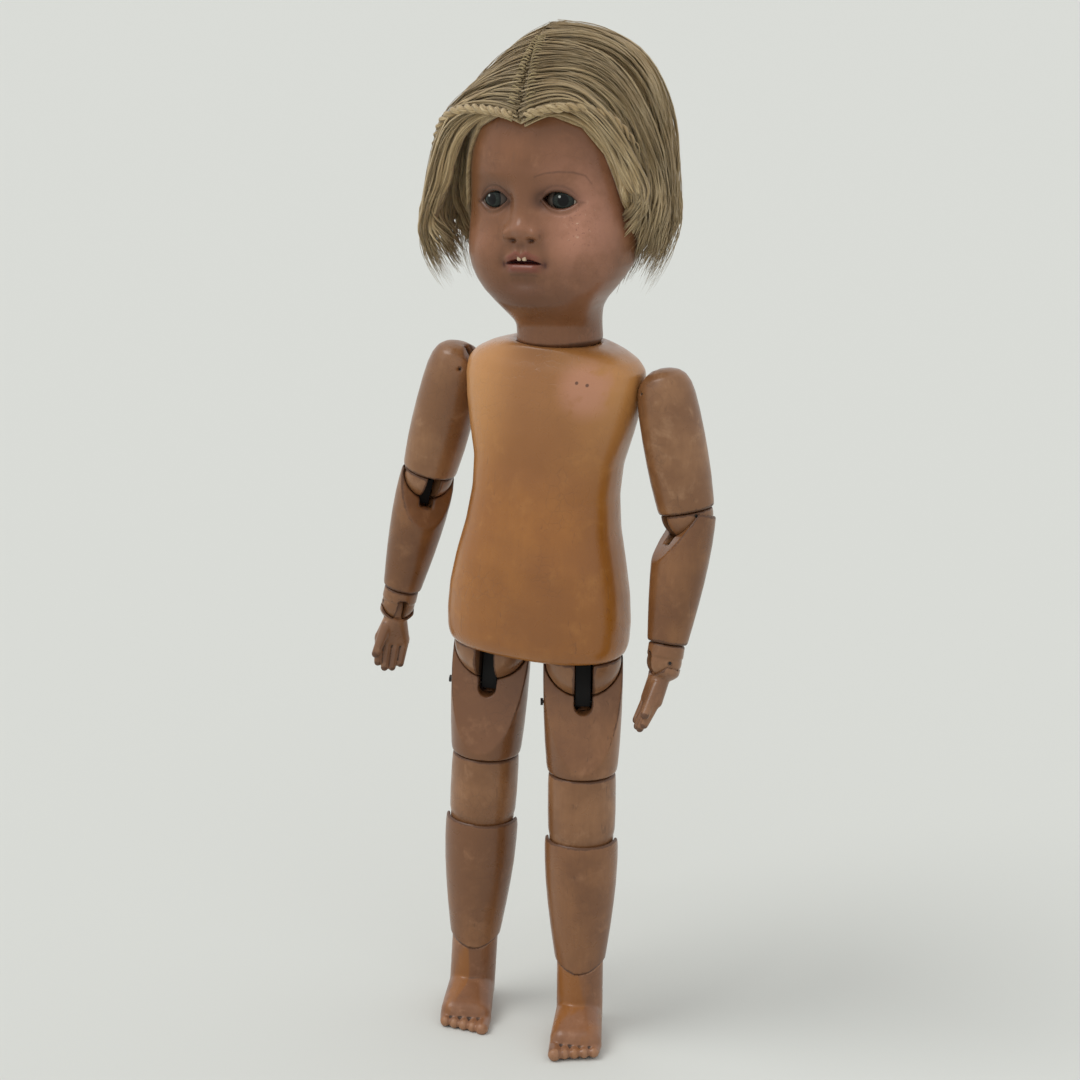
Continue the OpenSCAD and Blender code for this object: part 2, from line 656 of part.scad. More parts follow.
wrist_rod_l = forearm_l + wrist_l - elbow_link_l - wrist_pocket_l / 2 - washer_t;
module wrist_rod(side) {
    color(steel) at_wrist(side) {
        translate([0, 0, tongue_r + gap]) cylinder(r = arm_rod_r, h = wrist_rod_l - tongue_r);
        washer(arm_rod_r, arm_washer_r, wrist_rod_l);
    }
}
tongue_r = 3.4;
module wrist_block(side) {
    color(flesh) at_wrist(side) difference() {
        union() {
            turned() sphere(wrist_r - gap);
            turned() rotate_extrude()
                polygon([[0, seat], [wrist_r - 2 * gap, seat], [wrist_r, seat + 2 * gap],
                [wrist_r, wrist_l - 3 * gap], [wrist_r - 2 * gap, wrist_l - gap], [0, wrist_l - gap]]);
        }
        // Slot for the tongue of the hand, open to the front and below
        translate([-wrist_slot_w / 2, -2 * over + tongue_r + gap, -over])
            cube([wrist_slot_w, 2 * over, over + tongue_r + gap]);
        cylinder(r = arm_rod_r, h = over);
        rotate([0, 90, 0]) cylinder(r = small_pin_r, h = over, center = true);
    }
}
module wrist_pin(side) {
    color(black) at_wrist(side) cross_pin(wrist_r - gap, small_pin_r);
}
// Hand: palm, four fingers and a thumb, each a rounded bar between two balls
palm_share = 0.52;
finger_r = 2.3;
thumb_r = 2.5;
module bar(a, b, ra, rb) {
    hull() {
        translate(a) sphere(ra, $fn = 16);
        translate(b) sphere(rb, $fn = 16);
    }
}
module palm_and_fingers(palm_z, spread) {
    hull() {
        translate([0, 0, -wrist_r * 0.75]) sphere(wrist_r * 0.62, $fn = 16);
        for (x = [-1, 1])
            translate([x * (spread / 2 - finger_r / 3), 0, palm_z]) sphere(finger_r * 1.35, $fn = 16);
    }
    for (k = [0 : 3])
        bar([(k / 3 - 0.5) * spread, 0, palm_z + finger_r / 2],
            [(k / 3 - 0.5) * spread * 0.86, -finger_r * 0.8, -hand_l + finger_r + abs(k - 1.6) * finger_r],
            finger_r, finger_r * 0.82);
    bar([spread / 2 - thumb_r, -thumb_r / 2, palm_z * 0.62],
        [spread / 2 + thumb_r * 0.6, -thumb_r * 1.6, -hand_l * 0.72], thumb_r * 1.2, thumb_r * 0.85);
}
module hand(side) {
    palm_z = -hand_l * palm_share;
    spread = hand_w - 2 * finger_r;
    color(flesh) at_hand(side) difference() {
        union() {
            difference() {
                union() {
                    palm_and_fingers(palm_z, spread);
                    turned() intersection() {
                        cylinder(r = wrist_r, h = 2 * wrist_r, center = true);
                        sphere(wrist_r + 4 * gap);
                    }
                }
                lathe_ball(wrist_r);
                front_of_facet(wrist_facet);
                above(-2 * gap);
            }
            // Tongue on the wrist pin
            rotate([0, 90, 0]) cylinder(r = tongue_r, h = wrist_slot_w - 2 * gap, center = true);
            translate([-wrist_slot_w / 2 + gap, -tongue_r, -wrist_r - tongue_r])
                cube([wrist_slot_w - 2 * gap, 2 * tongue_r, wrist_r + tongue_r]);
        }
        rotate([0, 90, 0]) cylinder(r = small_pin_r + fit, h = over, center = true);
    }
}
wrist_facet = 30;

// Hip
hip_rod_l = hip_pocket_z + hip_spring_l + gap;
leg_eye_r = pin_r + fit + eye_wall;
module hip_rod(side) {
    color(steel) at_hip(side) {
        eye_rod(rod_r, pin_r, eye_t, hip_rod_l);
        washer(rod_r, washer_r, hip_rod_l);
    }
}
module hip_ball(side) {
    color(flesh) at_hip(side) slotted_ball(hip_r, leg_slot_w, pin_r, leg_eye_r + gap);
}
module hip_pin(side) {
    color(black) at_hip(side) cross_pin(hip_r, pin_r);
}
link_half_w = rod_r + gap + cheek_t;
nail_drop = hip_r * 1.2;
nail_head_r = 1.7;
nail_head_t = 1.2;
module hip_link(side) {
    color(black) at_hip(side) difference() {
        fork(pin_r, leg_eye_r, rod_r + gap, cheek_t, leg_eye_r * 0.8, nail_drop + leg_eye_r * 0.6);
        translate([0, 0, -nail_drop]) rotate([0, 90, 0])
            cylinder(r = small_pin_r + fit, h = over, center = true);
    }
}
// Nail across the thigh through the link, with its head on the doll's right side
module thigh_nail(side) {
    color(black) at_hip(side) translate([0, 0, -nail_drop]) mirrored(-side) rotate([0, 90, 0]) {
        translate([0, 0, -thigh_r * 0.8]) cylinder(r = small_pin_r, h = thigh_r * 1.8);
        translate([0, 0, thigh_r]) cylinder(r = nail_head_r, h = nail_head_t);
    }
}
thigh_rise = seat - gap;
knee_pocket_l = 14;
module thigh(side) {
    color(flesh) at_hip(side) difference() {
        turned() rotate_extrude() polygon(hang(thigh_shares, thigh_r, thigh_rise, thigh_rise + thigh_l));
        lathe_ball(hip_r + gap);
        front_of_facet(hip_facet);
        // Notch for the link, with a rounded end in the facet
        translate([-leg_slot_w / 2, -over + leg_eye_r, -nail_drop]) cube([leg_slot_w, over, nail_drop]);
        translate([0, 0, -nail_drop]) rotate([0, 90, 0])
            cylinder(r = leg_eye_r + gap, h = leg_slot_w, center = true);
        translate([0, -over, -nail_drop]) rotate([-90, 0, 0]) cylinder(r = leg_slot_w / 2, h = over);
        translate([0, 0, -nail_drop]) mirrored(-side) translate([-thigh_r * 0.8, 0, 0])
            rotate([0, 90, 0]) cylinder(r = small_pin_r, h = 2 * over);
        // Bore and pocket for the knee rod
        translate([0, 0, -thigh_l - over]) cylinder(r = rod_r + gap, h = over + knee_pocket_l);
        translate([0, 0, -thigh_l + knee_wall]) cylinder(r = pocket_r, h = knee_pocket_l);
    }
}
knee_wall = 9;

// Knee
knee_rod_l = knee_l + knee_wall + knee_pocket_l / 2;
module knee_rod(side) {
    color(steel) at_knee(side) {
        eye_rod(rod_r, pin_r, eye_t, knee_rod_l);
        washer(rod_r, washer_r, knee_rod_l);
    }
}
knee_ball_r = knee_r - 2 * gap;
module knee_block(side) {
    color(flesh) at_knee(side) difference() {
        union() {
            turned() sphere(knee_ball_r);
            turned() rotate_extrude() polygon(hang(knee_shares, knee_r, knee_l - gap, knee_l));
        }
        // Slot for the fork, open to the back
        translate([-leg_slot_w / 2, -leg_eye_r - gap, -over])
            cube([leg_slot_w, 2 * over, over + leg_eye_r + gap]);
        cylinder(r = rod_r + gap, h = over);
        rotate([0, 90, 0]) cylinder(r = pin_r, h = over, center = true);
    }
}
module knee_pin(side) {
    color(black) at_knee(side) cross_pin(knee_ball_r, pin_r);
}
module calf(side) {
    color(flesh) at_knee(side) difference() {
        turned() rotate_extrude() polygon(hang(calf_shares, calf_r, gap * 2, gap * 2 + calf_l));
        lathe_ball(knee_ball_r + gap);
        mirror([0, 1, 0]) front_of_facet(knee_facet);
        // Saddle over the rounded top of the foot
        translate([0, 0, -calf_l]) rotate([0, 90, 0])
            cylinder(r = ankle_r + gap, h = 2 * over, center = true);
        translate([-over, -over, -calf_l - 2 * over]) cube(2 * over);
        // Slot for the fork and bore for its rod
        translate([-leg_slot_w / 2, -leg_eye_r - gap, -knee_slot_l]) cube([leg_slot_w, over, knee_slot_l]);
        translate([0, 0, -over * 2]) cylinder(r = rod_r + gap, h = over * 2);
    }
}
knee_slot_l = knee_r + leg_eye_r;
fork_l = knee_r * 1.06;
module calf_rod(side) {
    color(steel) at_knee(side) {
        difference() {
            union() {
                fork(pin_r, leg_eye_r, rod_r + gap, cheek_t, rod_r, fork_l);
                translate([0, 0, -calf_l]) cylinder(r = rod_r, h = calf_l - fork_l + gap);
                translate([0, 0, -calf_l]) rotate([0, 90, 0])
                    cylinder(r = leg_eye_r, h = eye_t, center = true);
            }
            translate([0, 0, -calf_l]) rotate([0, 90, 0]) cylinder(r = pin_r + fit, h = over, center = true);
        }
    }
}

// Foot
foot_pin_half = calf_end_r * 0.9;
module ankle_pin(side) {
    color(steel) at_ankle(side) rotate([0, 90, 0]) cylinder(r = pin_r, h = 2 * foot_pin_half, center = true);
}
ankle_h = hip_z - (thigh_l + knee_l + calf_l) * cos(leg_out);
toe_r = 3.1;
ankle_tip = 22;
// Slot in the Y Z plane that widens upward, so that a rod in it can tip both ways
module fan_slot(width, half, reach, tip) {
    rotate([90, 0, 90]) linear_extrude(width, center = true)
        polygon([[-half, -half], [half, -half], [half + reach * tan(tip), reach],
            [-half - reach * tan(tip), reach]]);
}
module foot(side) {
    ball_r = foot_w * 0.26;
    post_r = calf_end_r - 2 * gap;
    heel_r = heel_reach * 0.65;
    color(flesh) difference() {
        at_ankle(side) difference() {
            union() {
                // Ankle: an upright post with a rounded top
                intersection() {
                    rotate([0, 90, 0]) cylinder(r = ankle_r, h = 2 * over, center = true);
                    translate([0, 0, -ankle_h]) cylinder(r = post_r, h = over);
                }
                // Heel, instep and ball
                hull() {
                    translate([0, 0, -ankle_h * 0.5]) sphere(post_r, $fn = 24);
                    translate([0, heel_reach - heel_r, -ankle_h + heel_r * 0.8]) sphere(heel_r, $fn = 24);
                    for (x = [-1, 1])
                        translate([x * (foot_w / 2 - ball_r), -toe_reach * 0.6, -ankle_h + ball_r * 0.8])
                            sphere(ball_r, $fn = 20);
                }
                // Toes, the big one on the inner side
                for (k = [0 : 4])
                    hull() {
                        translate([(k - 2) * toe_pitch, -toe_reach * 0.6, -ankle_h + toe_r])
                            sphere(toe_r * 1.05, $fn = 16);
                        translate([(k - 2) * toe_pitch * 0.98, -toe_reach + toe_r * 1.05 + k * toe_step,
                            -ankle_h + toe_r * 0.85]) sphere(toe_r * (k == 0 ? 1.05 : 0.84), $fn = 16);
                    }
            }
            fan_slot(2 * (rod_r + gap), leg_eye_r + gap, ankle_r, ankle_tip);
            rotate([0, 90, 0]) cylinder(r = pin_r, h = 2 * over, center = true);
        }
        translate([-2 * over, -2 * over, -2 * over]) cube([4 * over, 4 * over, 2 * over]);
        at_middle() mirrored(side) translate([stand_x(side), stand_y(side), -over])
            cylinder(r = stand_hole_r, h = over + stand_hole_l);
    }
}
toe_pitch = (foot_w - 2 * toe_r) / 4;
toe_step = 1.1;
// The stand hole is drilled upright below the instep, on the foot's own middle line
stand_ahead = 8;
function foot_turn(side) = side_value(side, left_hip_turn + left_knee_turn,
    right_hip_turn + right_knee_turn);
function stand_x(side) =
    hip_x + (thigh_l + knee_l + calf_l) * sin(leg_out) + stand_ahead * sin(foot_turn(side));
function stand_y(side) = hip_y - stand_ahead * cos(foot_turn(side));

module left_shoulder_link() shoulder_link(1);
module left_shoulder_pin() shoulder_pin(1);
module left_upper_arm() upper_arm(1);
module left_elbow_spring() elbow_spring(1);
module left_elbow_rod() elbow_rod(1);
module left_elbow_ball() elbow_ball(1);
module left_elbow_pin() elbow_pin(1);
module left_elbow_link() elbow_link(1);
module left_forearm() forearm(1);
module left_wrist_rod() wrist_rod(1);
module left_wrist_block() wrist_block(1);
module left_wrist_pin() wrist_pin(1);
module left_hand() hand(1);
module right_shoulder_link() shoulder_link(-1);
module right_shoulder_pin() shoulder_pin(-1);
module right_upper_arm() upper_arm(-1);
module right_elbow_spring() elbow_spring(-1);
module right_elbow_rod() elbow_rod(-1);
module right_elbow_ball() elbow_ball(-1);
module right_elbow_pin() elbow_pin(-1);
module right_elbow_link() elbow_link(-1);
module right_forearm() forearm(-1);
module right_wrist_rod() wrist_rod(-1);
module right_wrist_block() wrist_block(-1);
module right_wrist_pin() wrist_pin(-1);
module right_hand() hand(-1);
module left_hip_rod() hip_rod(1);
module left_hip_ball() hip_ball(1);
module left_hip_pin() hip_pin(1);
module left_hip_link() hip_link(1);
module left_thigh_nail() thigh_nail(1);
module left_thigh() thigh(1);
module left_knee_rod() knee_rod(1);
module left_knee_block() knee_block(1);
module left_knee_pin() knee_pin(1);
module left_calf() calf(1);
module left_calf_rod() calf_rod(1);
module left_ankle_pin() ankle_pin(1);
module left_foot() foot(1);
module right_hip_rod() hip_rod(-1);
module right_hip_ball() hip_ball(-1);
module right_hip_pin() hip_pin(-1);
module right_hip_link() hip_link(-1);
module right_thigh_nail() thigh_nail(-1);
module right_thigh() thigh(-1);
module right_knee_rod() knee_rod(-1);
module right_knee_block() knee_block(-1);
module right_knee_pin() knee_pin(-1);
module right_calf() calf(-1);
module right_calf_rod() calf_rod(-1);
module right_ankle_pin() ankle_pin(-1);
module right_foot() foot(-1);

torso();
torso_springs();
neck_link();
neck_pin();
head();
eyes();
teeth();
wig();
left_shoulder_link();
left_shoulder_pin();
left_upper_arm();
left_elbow_spring();
left_elbow_rod();
left_elbow_ball();
left_elbow_pin();
left_elbow_link();
left_forearm();
left_wrist_rod();
left_wrist_block();
left_wrist_pin();
left_hand();
right_shoulder_link();
right_shoulder_pin();
right_upper_arm();
right_elbow_spring();
right_elbow_rod();
right_elbow_ball();
right_elbow_pin();
right_elbow_link();
right_forearm();
right_wrist_rod();
right_wrist_block();
right_wrist_pin();
right_hand();
left_hip_rod();
left_hip_ball();
left_hip_pin();
left_hip_link();
left_thigh_nail();
left_thigh();
left_knee_rod();
left_knee_block();
left_knee_pin();
left_calf();
left_calf_rod();
left_ankle_pin();
left_foot();
right_hip_rod();
right_hip_ball();
right_hip_pin();
right_hip_link();
right_thigh_nail();
right_thigh();
right_knee_rod();
right_knee_block();
right_knee_pin();
right_calf();
right_calf_rod();
right_ankle_pin();
right_foot();
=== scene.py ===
# Antique wooden child doll: spring-jointed limbs, carved and enamelled head, sewn mohair wig.
# The CAD model is the frame, and each visible piece is made here in its place.
import math
import bpy
import bmesh
import numpy as np
from mathutils import Matrix, Vector
from mathutils.bvhtree import BVHTree


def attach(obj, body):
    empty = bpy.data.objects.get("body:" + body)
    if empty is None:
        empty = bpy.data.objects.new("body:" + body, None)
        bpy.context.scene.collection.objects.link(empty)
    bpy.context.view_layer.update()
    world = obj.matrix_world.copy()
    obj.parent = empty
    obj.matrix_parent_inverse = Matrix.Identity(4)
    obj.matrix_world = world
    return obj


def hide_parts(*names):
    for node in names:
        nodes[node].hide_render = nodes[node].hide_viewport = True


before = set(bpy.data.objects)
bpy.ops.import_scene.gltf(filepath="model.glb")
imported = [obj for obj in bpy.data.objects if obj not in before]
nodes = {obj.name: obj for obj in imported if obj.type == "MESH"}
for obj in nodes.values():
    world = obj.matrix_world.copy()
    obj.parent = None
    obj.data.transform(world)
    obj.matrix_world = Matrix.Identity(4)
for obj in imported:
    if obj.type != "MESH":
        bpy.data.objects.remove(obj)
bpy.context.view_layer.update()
MM = 0.001
SIDES = (("left", 1), ("right", -1))


# Camera: a long lens from the doll's left front, looking slightly down, as in the photograph.
YAW, PITCH, ROLL = math.radians(27), math.radians(15), math.radians(-2)
CAMERA_AT = (0.4977, -0.9827, 0.535)
LENS = 80
SENSOR = 36
cam_forward = Vector((-math.sin(YAW) * math.cos(PITCH), math.cos(YAW) * math.cos(PITCH), -math.sin(PITCH)))
cam_right = Vector((math.cos(YAW), math.sin(YAW), 0))
cam_down = cam_forward.cross(cam_right)
level_right = cam_right.copy()
cam_right = level_right * math.cos(ROLL) + cam_down * math.sin(ROLL)
cam_down = cam_down * math.cos(ROLL) - level_right * math.sin(ROLL)
camera = bpy.data.objects.new("camera", bpy.data.cameras.new("camera"))
bpy.context.collection.objects.link(camera)
camera.data.lens = LENS
camera.data.sensor_width = SENSOR
turn = Matrix((cam_right, -cam_down, -cam_forward)).transposed().to_4x4()
camera.matrix_world = Matrix.Translation(CAMERA_AT) @ turn
bpy.context.scene.camera = camera
bpy.context.scene.view_settings.view_transform = "Standard"


# Materials: short calls that build node trees. Colours are written as they look, 0 to 255.
def rgb(r, g, b):
    """An sRGB colour as linear RGBA."""
    v = np.array([r, g, b]) / 255
    v = np.where(v <= 0.04045, v / 12.92, ((v + 0.055) / 1.055) ** 2.4)
    return (*v.tolist(), 1.0)


class Graph:
    """A node tree with one method for each kind of node that the materials use."""

    def __init__(self, tree, owner=None):
        self.tree = tree
        self.material = owner

    def node(self, kind, values=None, **settings):
        n = self.tree.nodes.new(kind)
        for key, value in settings.items():
            setattr(n, key, value)
        for key, value in (values or {}).items():
            if isinstance(value, bpy.types.NodeSocket):
                self.tree.links.new(value, n.inputs[key])
            else:
                n.inputs[key].default_value = value
        return n

    def place(self):
        return self.node("ShaderNodeTexCoord").outputs["Object"]

    def attribute(self, name):
        return self.node("ShaderNodeAttribute", attribute_name=name).outputs["Fac"]

    def vector(self, x=0.0, y=0.0, z=0.0):
        return self.node("ShaderNodeCombineXYZ", {0: x, 1: y, 2: z}).outputs[0]

    def stretched(self, vector, x, y, z):
        return self.node("ShaderNodeVectorMath", {0: vector, 1: (x, y, z)}, operation="MULTIPLY").outputs[0]

    def moved(self, vector, other):
        return self.node("ShaderNodeVectorMath", {0: vector, 1: other}, operation="ADD").outputs[0]

    def distance(self, vector, other):
        return self.node("ShaderNodeVectorMath", {0: vector, 1: other}, operation="DISTANCE").outputs["Value"]

    def noise(self, vector, scale, detail=4.0, rough=0.55, distortion=0.0):
        return self.node("ShaderNodeTexNoise", {"Vector": vector, "Scale": scale, "Detail": detail,
                                                "Roughness": rough, "Distortion": distortion}).outputs[0]

    def cells(self, vector, scale):
        """The distance to the nearest border between random cells."""
        return self.node("ShaderNodeTexVoronoi", {"Vector": vector, "Scale": scale},
                         feature="DISTANCE_TO_EDGE").outputs[0]

    def span(self, value, low, high, to_low=0.0, to_high=1.0):
        """value from low to high, eased and clamped to to_low to to_high."""
        return self.node("ShaderNodeMapRange", {"Value": value, "From Min": low, "From Max": high,
                                                "To Min": to_low, "To Max": to_high},
                         interpolation_type="SMOOTHSTEP").outputs[0]

    def maths(self, operation, a, b=0.0):
        return self.node("ShaderNodeMath", {0: a, 1: b}, operation=operation).outputs[0]

    def times(self, a, b):
        return self.maths("MULTIPLY", a, b)

    def plus(self, a, b):
        return self.maths("ADD", a, b)

    def mix(self, factor, a, b):
        return self.node("ShaderNodeMix", {0: factor, 6: a, 7: b}, data_type="RGBA").outputs[2]


def material(g, colour, roughness, height, strength, depth, **extra):
    """The graph's Principled material, from the sockets or values given. The bump is height times strength,
    and depth is its depth in millimetres."""
    shader = g.tree.nodes["Principled BSDF"]
    for key, value in {"Base Color": colour, "Roughness": roughness, **extra}.items():
        if isinstance(value, bpy.types.NodeSocket):
            g.tree.links.new(value, shader.inputs[key])
        else:
            shader.inputs[key].default_value = value
    bump = g.node("ShaderNodeBump", {"Height": height, "Strength": strength, "Distance": depth * MM})
    g.tree.links.new(bump.outputs[0], shader.inputs["Normal"])
    return g.material


def new_graph(name):
    """An empty material and its graph."""
    made = bpy.data.materials.new(name)
    made.use_nodes = True
    return Graph(made.node_tree, made)


def enamel_group():
    """Old oil enamel on wood. Colours drift over a few centimetres, brush marks run along the limb, and the
    paint is crazed in patches, worn to the wood at the edges and dirty in the hollows. On the face the same
    dark mix is also painted shade in the creases."""
    tree = bpy.data.node_groups.new("old_enamel", "ShaderNodeTree")
    for name in ("Paint", "Deep", "Pale", "Wood", "Dirt and shade"):
        tree.interface.new_socket(name, in_out="INPUT", socket_type="NodeSocketColor")
    for name in ("Rub", "Grime and shade", "Seed"):
        tree.interface.new_socket(name, in_out="INPUT", socket_type="NodeSocketFloat")
    tree.interface.new_socket("Colour", in_out="OUTPUT", socket_type="NodeSocketColor")
    for name in ("Roughness", "Height"):
        tree.interface.new_socket(name, in_out="OUTPUT", socket_type="NodeSocketFloat")
    g = Graph(tree)
    given = g.node("NodeGroupInput").outputs
    at = g.moved(g.place(), g.vector(given["Seed"], given["Seed"]))
    broad = g.noise(at, 28, 4, 0.6)
    patch = g.noise(at, 75, 5, 0.62, 0.4)
    brush = g.noise(g.stretched(at, 1, 1, 0.09), 520, 3, 0.6)
    speck = g.noise(at, 620, 3, 0.6)
    stray = g.node("ShaderNodeTexNoise", {"Vector": at, "Scale": 160.0}).outputs[1]
    crack = g.cells(g.moved(at, g.stretched(stray, 0.004, 0.004, 0.004)), 190)
    crazed = g.times(g.span(crack, 0.05, 0.0), g.span(g.noise(at, 38, 3), 0.46, 0.62))
    scratch = g.times(g.span(g.noise(g.stretched(at, 1, 1, 0.16), 330, 2, 0.5, 1.6), 0.665, 0.70),
                      g.span(patch, 0.42, 0.6))
    pit = g.times(g.span(speck, 0.66, 0.74), g.span(patch, 0.4, 0.56))
    colour = g.mix(g.span(broad, 0.40, 0.64, 0.0, 0.9), given["Deep"], given["Paint"])
    colour = g.mix(g.times(g.span(patch, 0.52, 0.74), 0.55), colour, given["Pale"])
    colour = g.mix(g.span(brush, 0.3, 0.7, 0.0, 0.32), colour, given["Deep"])
    colour = g.mix(g.times(crazed, 0.14), colour, given["Dirt and shade"])
    colour = g.mix(g.times(g.plus(scratch, pit), 0.35), colour, given["Wood"])
    worn = g.span(g.plus(given["Rub"], g.times(g.plus(patch, speck), 0.75)), 1.12, 1.45)
    colour = g.mix(g.times(worn, 0.85), colour, given["Wood"])
    # On the face this mask is mostly painted shade in the creases.
    darkening = g.span(g.plus(given["Grime and shade"], g.times(patch, 0.7)), 0.62, 1.12)
    colour = g.mix(g.times(darkening, 0.85), colour, given["Dirt and shade"])
    rough = g.plus(g.plus(g.span(patch, 0.35, 0.7, 0.27, 0.42), g.times(worn, 0.18)), g.times(darkening, 0.22))
    height = g.plus(g.plus(g.times(broad, 0.5), g.times(brush, 0.10)), g.times(patch, 0.35))
    height = g.plus(height, g.times(g.plus(g.plus(crazed, pit), g.plus(scratch, worn)), -0.16))
    out = g.node("NodeGroupOutput")
    for name, socket in (("Colour", colour), ("Roughness", rough), ("Height", height)):
        tree.links.new(socket, out.inputs[name])
    return tree


ENAMEL = enamel_group()
OLD_WOOD = rgb(84, 53, 32)
DIRT_AND_SHADE = rgb(40, 28, 22)


def enamel(name, paint, deep, pale, seed, wood=OLD_WOOD):
    """A material from the enamel group, with its own colours. Returns the graph and the group's outputs."""
    g = new_graph(name)
    group = g.node("ShaderNodeGroup", node_tree=ENAMEL)
    colours = {"Paint": paint, "Deep": deep, "Pale": pale, "Wood": wood, "Dirt and shade": DIRT_AND_SHADE}
    for key, value in {**colours, "Seed": seed}.items():
        group.inputs[key].default_value = value
    g.tree.links.new(g.attribute("rub"), group.inputs["Rub"])
    g.tree.links.new(g.attribute("grime_and_shade"), group.inputs["Grime and shade"])
    return g, group.outputs


COAT = {"Coat Weight": 0.25, "Coat Roughness": 0.24, "Specular IOR Level": 0.38}
LIMB_COLOURS = {        # seed, paint, its deeper and its paler patches
    # the upper arms are painted paler than the forearms: a painted highlight
    "upper": (0.3, rgb(152, 110, 74), rgb(126, 86, 54), rgb(184, 144, 108)),
    "arm": (0.3, rgb(138, 94, 56), rgb(112, 72, 40), rgb(166, 122, 84)),
    "leg": (0.9, rgb(138, 94, 58), rgb(116, 76, 46), rgb(158, 114, 80)),
    "ball": (1.7, rgb(148, 105, 70), rgb(124, 84, 52), rgb(172, 130, 96)),
    "hand": (2.6, rgb(156, 112, 78), rgb(122, 84, 56), rgb(182, 140, 106)),
    "foot": (3.8, rgb(144, 99, 68), rgb(122, 80, 50), rgb(170, 126, 96))}
PALE_WOOD = rgb(158, 114, 82)
limb_paint = {}
for kind, (seed, paint, deep, pale) in LIMB_COLOURS.items():
    g, out = enamel(kind + "_enamel", paint, deep, pale, seed, PALE_WOOD if kind == "foot" else OLD_WOOD)
    colour = out["Colour"]
    if kind == "foot":      # orange varnish has run down the instep and over the toes
        run = g.span(g.noise(g.stretched(g.place(), 1, 0.3, 0.2), 85, 3, 0.5), 0.50, 0.60)
        colour = g.mix(g.times(run, 0.6), colour, rgb(150, 92, 26))
    limb_paint[kind] = material(g, colour, out["Roughness"], out["Height"], 0.45, 0.5, **COAT)


# Meshes: whole arrays in, one object out.
def new_object(name, points, faces, masks=None):
    """An object from an array of points in millimetres and a list of face arrays, with one point mask per
    name. The surface is closed, and its faces are turned outward."""
    points = np.asarray(points, dtype=float)
    volume = sum((points[f[:, 0]] * np.cross(points[f[:, k]], points[f[:, k + 1]])).sum()
                 for f in faces for k in range(1, f.shape[1] - 1))
    faces = faces if volume > 0 else [f[:, ::-1] for f in faces]
    mesh = bpy.data.meshes.new(name)
    counts = np.concatenate([np.full(len(f), f.shape[1]) for f in faces])
    corners = np.concatenate([f.ravel() for f in faces]).astype(np.int32)
    mesh.vertices.add(len(points))
    mesh.vertices.foreach_set("co", (points * MM).ravel())
    mesh.loops.add(len(corners))
    mesh.loops.foreach_set("vertex_index", corners)
    mesh.polygons.add(len(counts))
    mesh.polygons.foreach_set("loop_start", np.concatenate([[0], np.cumsum(counts)[:-1]]).astype(np.int32))
    mesh.polygons.foreach_set("loop_total", counts.astype(np.int32))
    mesh.update(calc_edges=True)
    mesh.validate()
    mesh.shade_smooth()
    for key, values in (masks or {}).items():
        layer = mesh.attributes.new(key, "FLOAT", "POINT")
        layer.data.foreach_set("value", np.asarray(values, dtype=np.float32).ravel())
    obj = bpy.data.objects.new(name, mesh)
    bpy.context.collection.objects.link(obj)
    return obj


def finish_piece(obj, mat, body, slot, *replaced):
    """Gives obj its material and its body, and hides the CAD nodes that it stands for. The slot is not used.
    """
    obj.data.materials.clear()
    obj.data.materials.append(mat)
    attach(obj, body)
    if replaced:
        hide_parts(*replaced)
    return obj


def points_of(mesh):
    """The mesh's points in millimetres."""
    co = np.empty(len(mesh.vertices) * 3)
    mesh.vertices.foreach_get("co", co)
    return co.reshape(-1, 3) / MM


def neighbour_mean(values, edges, degree):
    """The mean of each point's neighbours, for one row of values per point."""
    n = len(values)
    total = np.stack([np.bincount(edges[:, 0], values[edges[:, 1], k], n)
                      + np.bincount(edges[:, 1], values[edges[:, 0], k], n)
                      for k in range(values.shape[1])], 1)
    return total / degree[:, None]


WELD = 0.001                    # millimetres between points that are one
EASE, UNDO_EASE = 0.55, 0.50    # share of the way to the neighbours' mean, and back in every second round
EDGE_RANGE = (0.012, 0.075)     # bulge, in voxels, at which a mask starts and is full
MASK_ROUNDS, MASK_SHARE = 4, 0.6


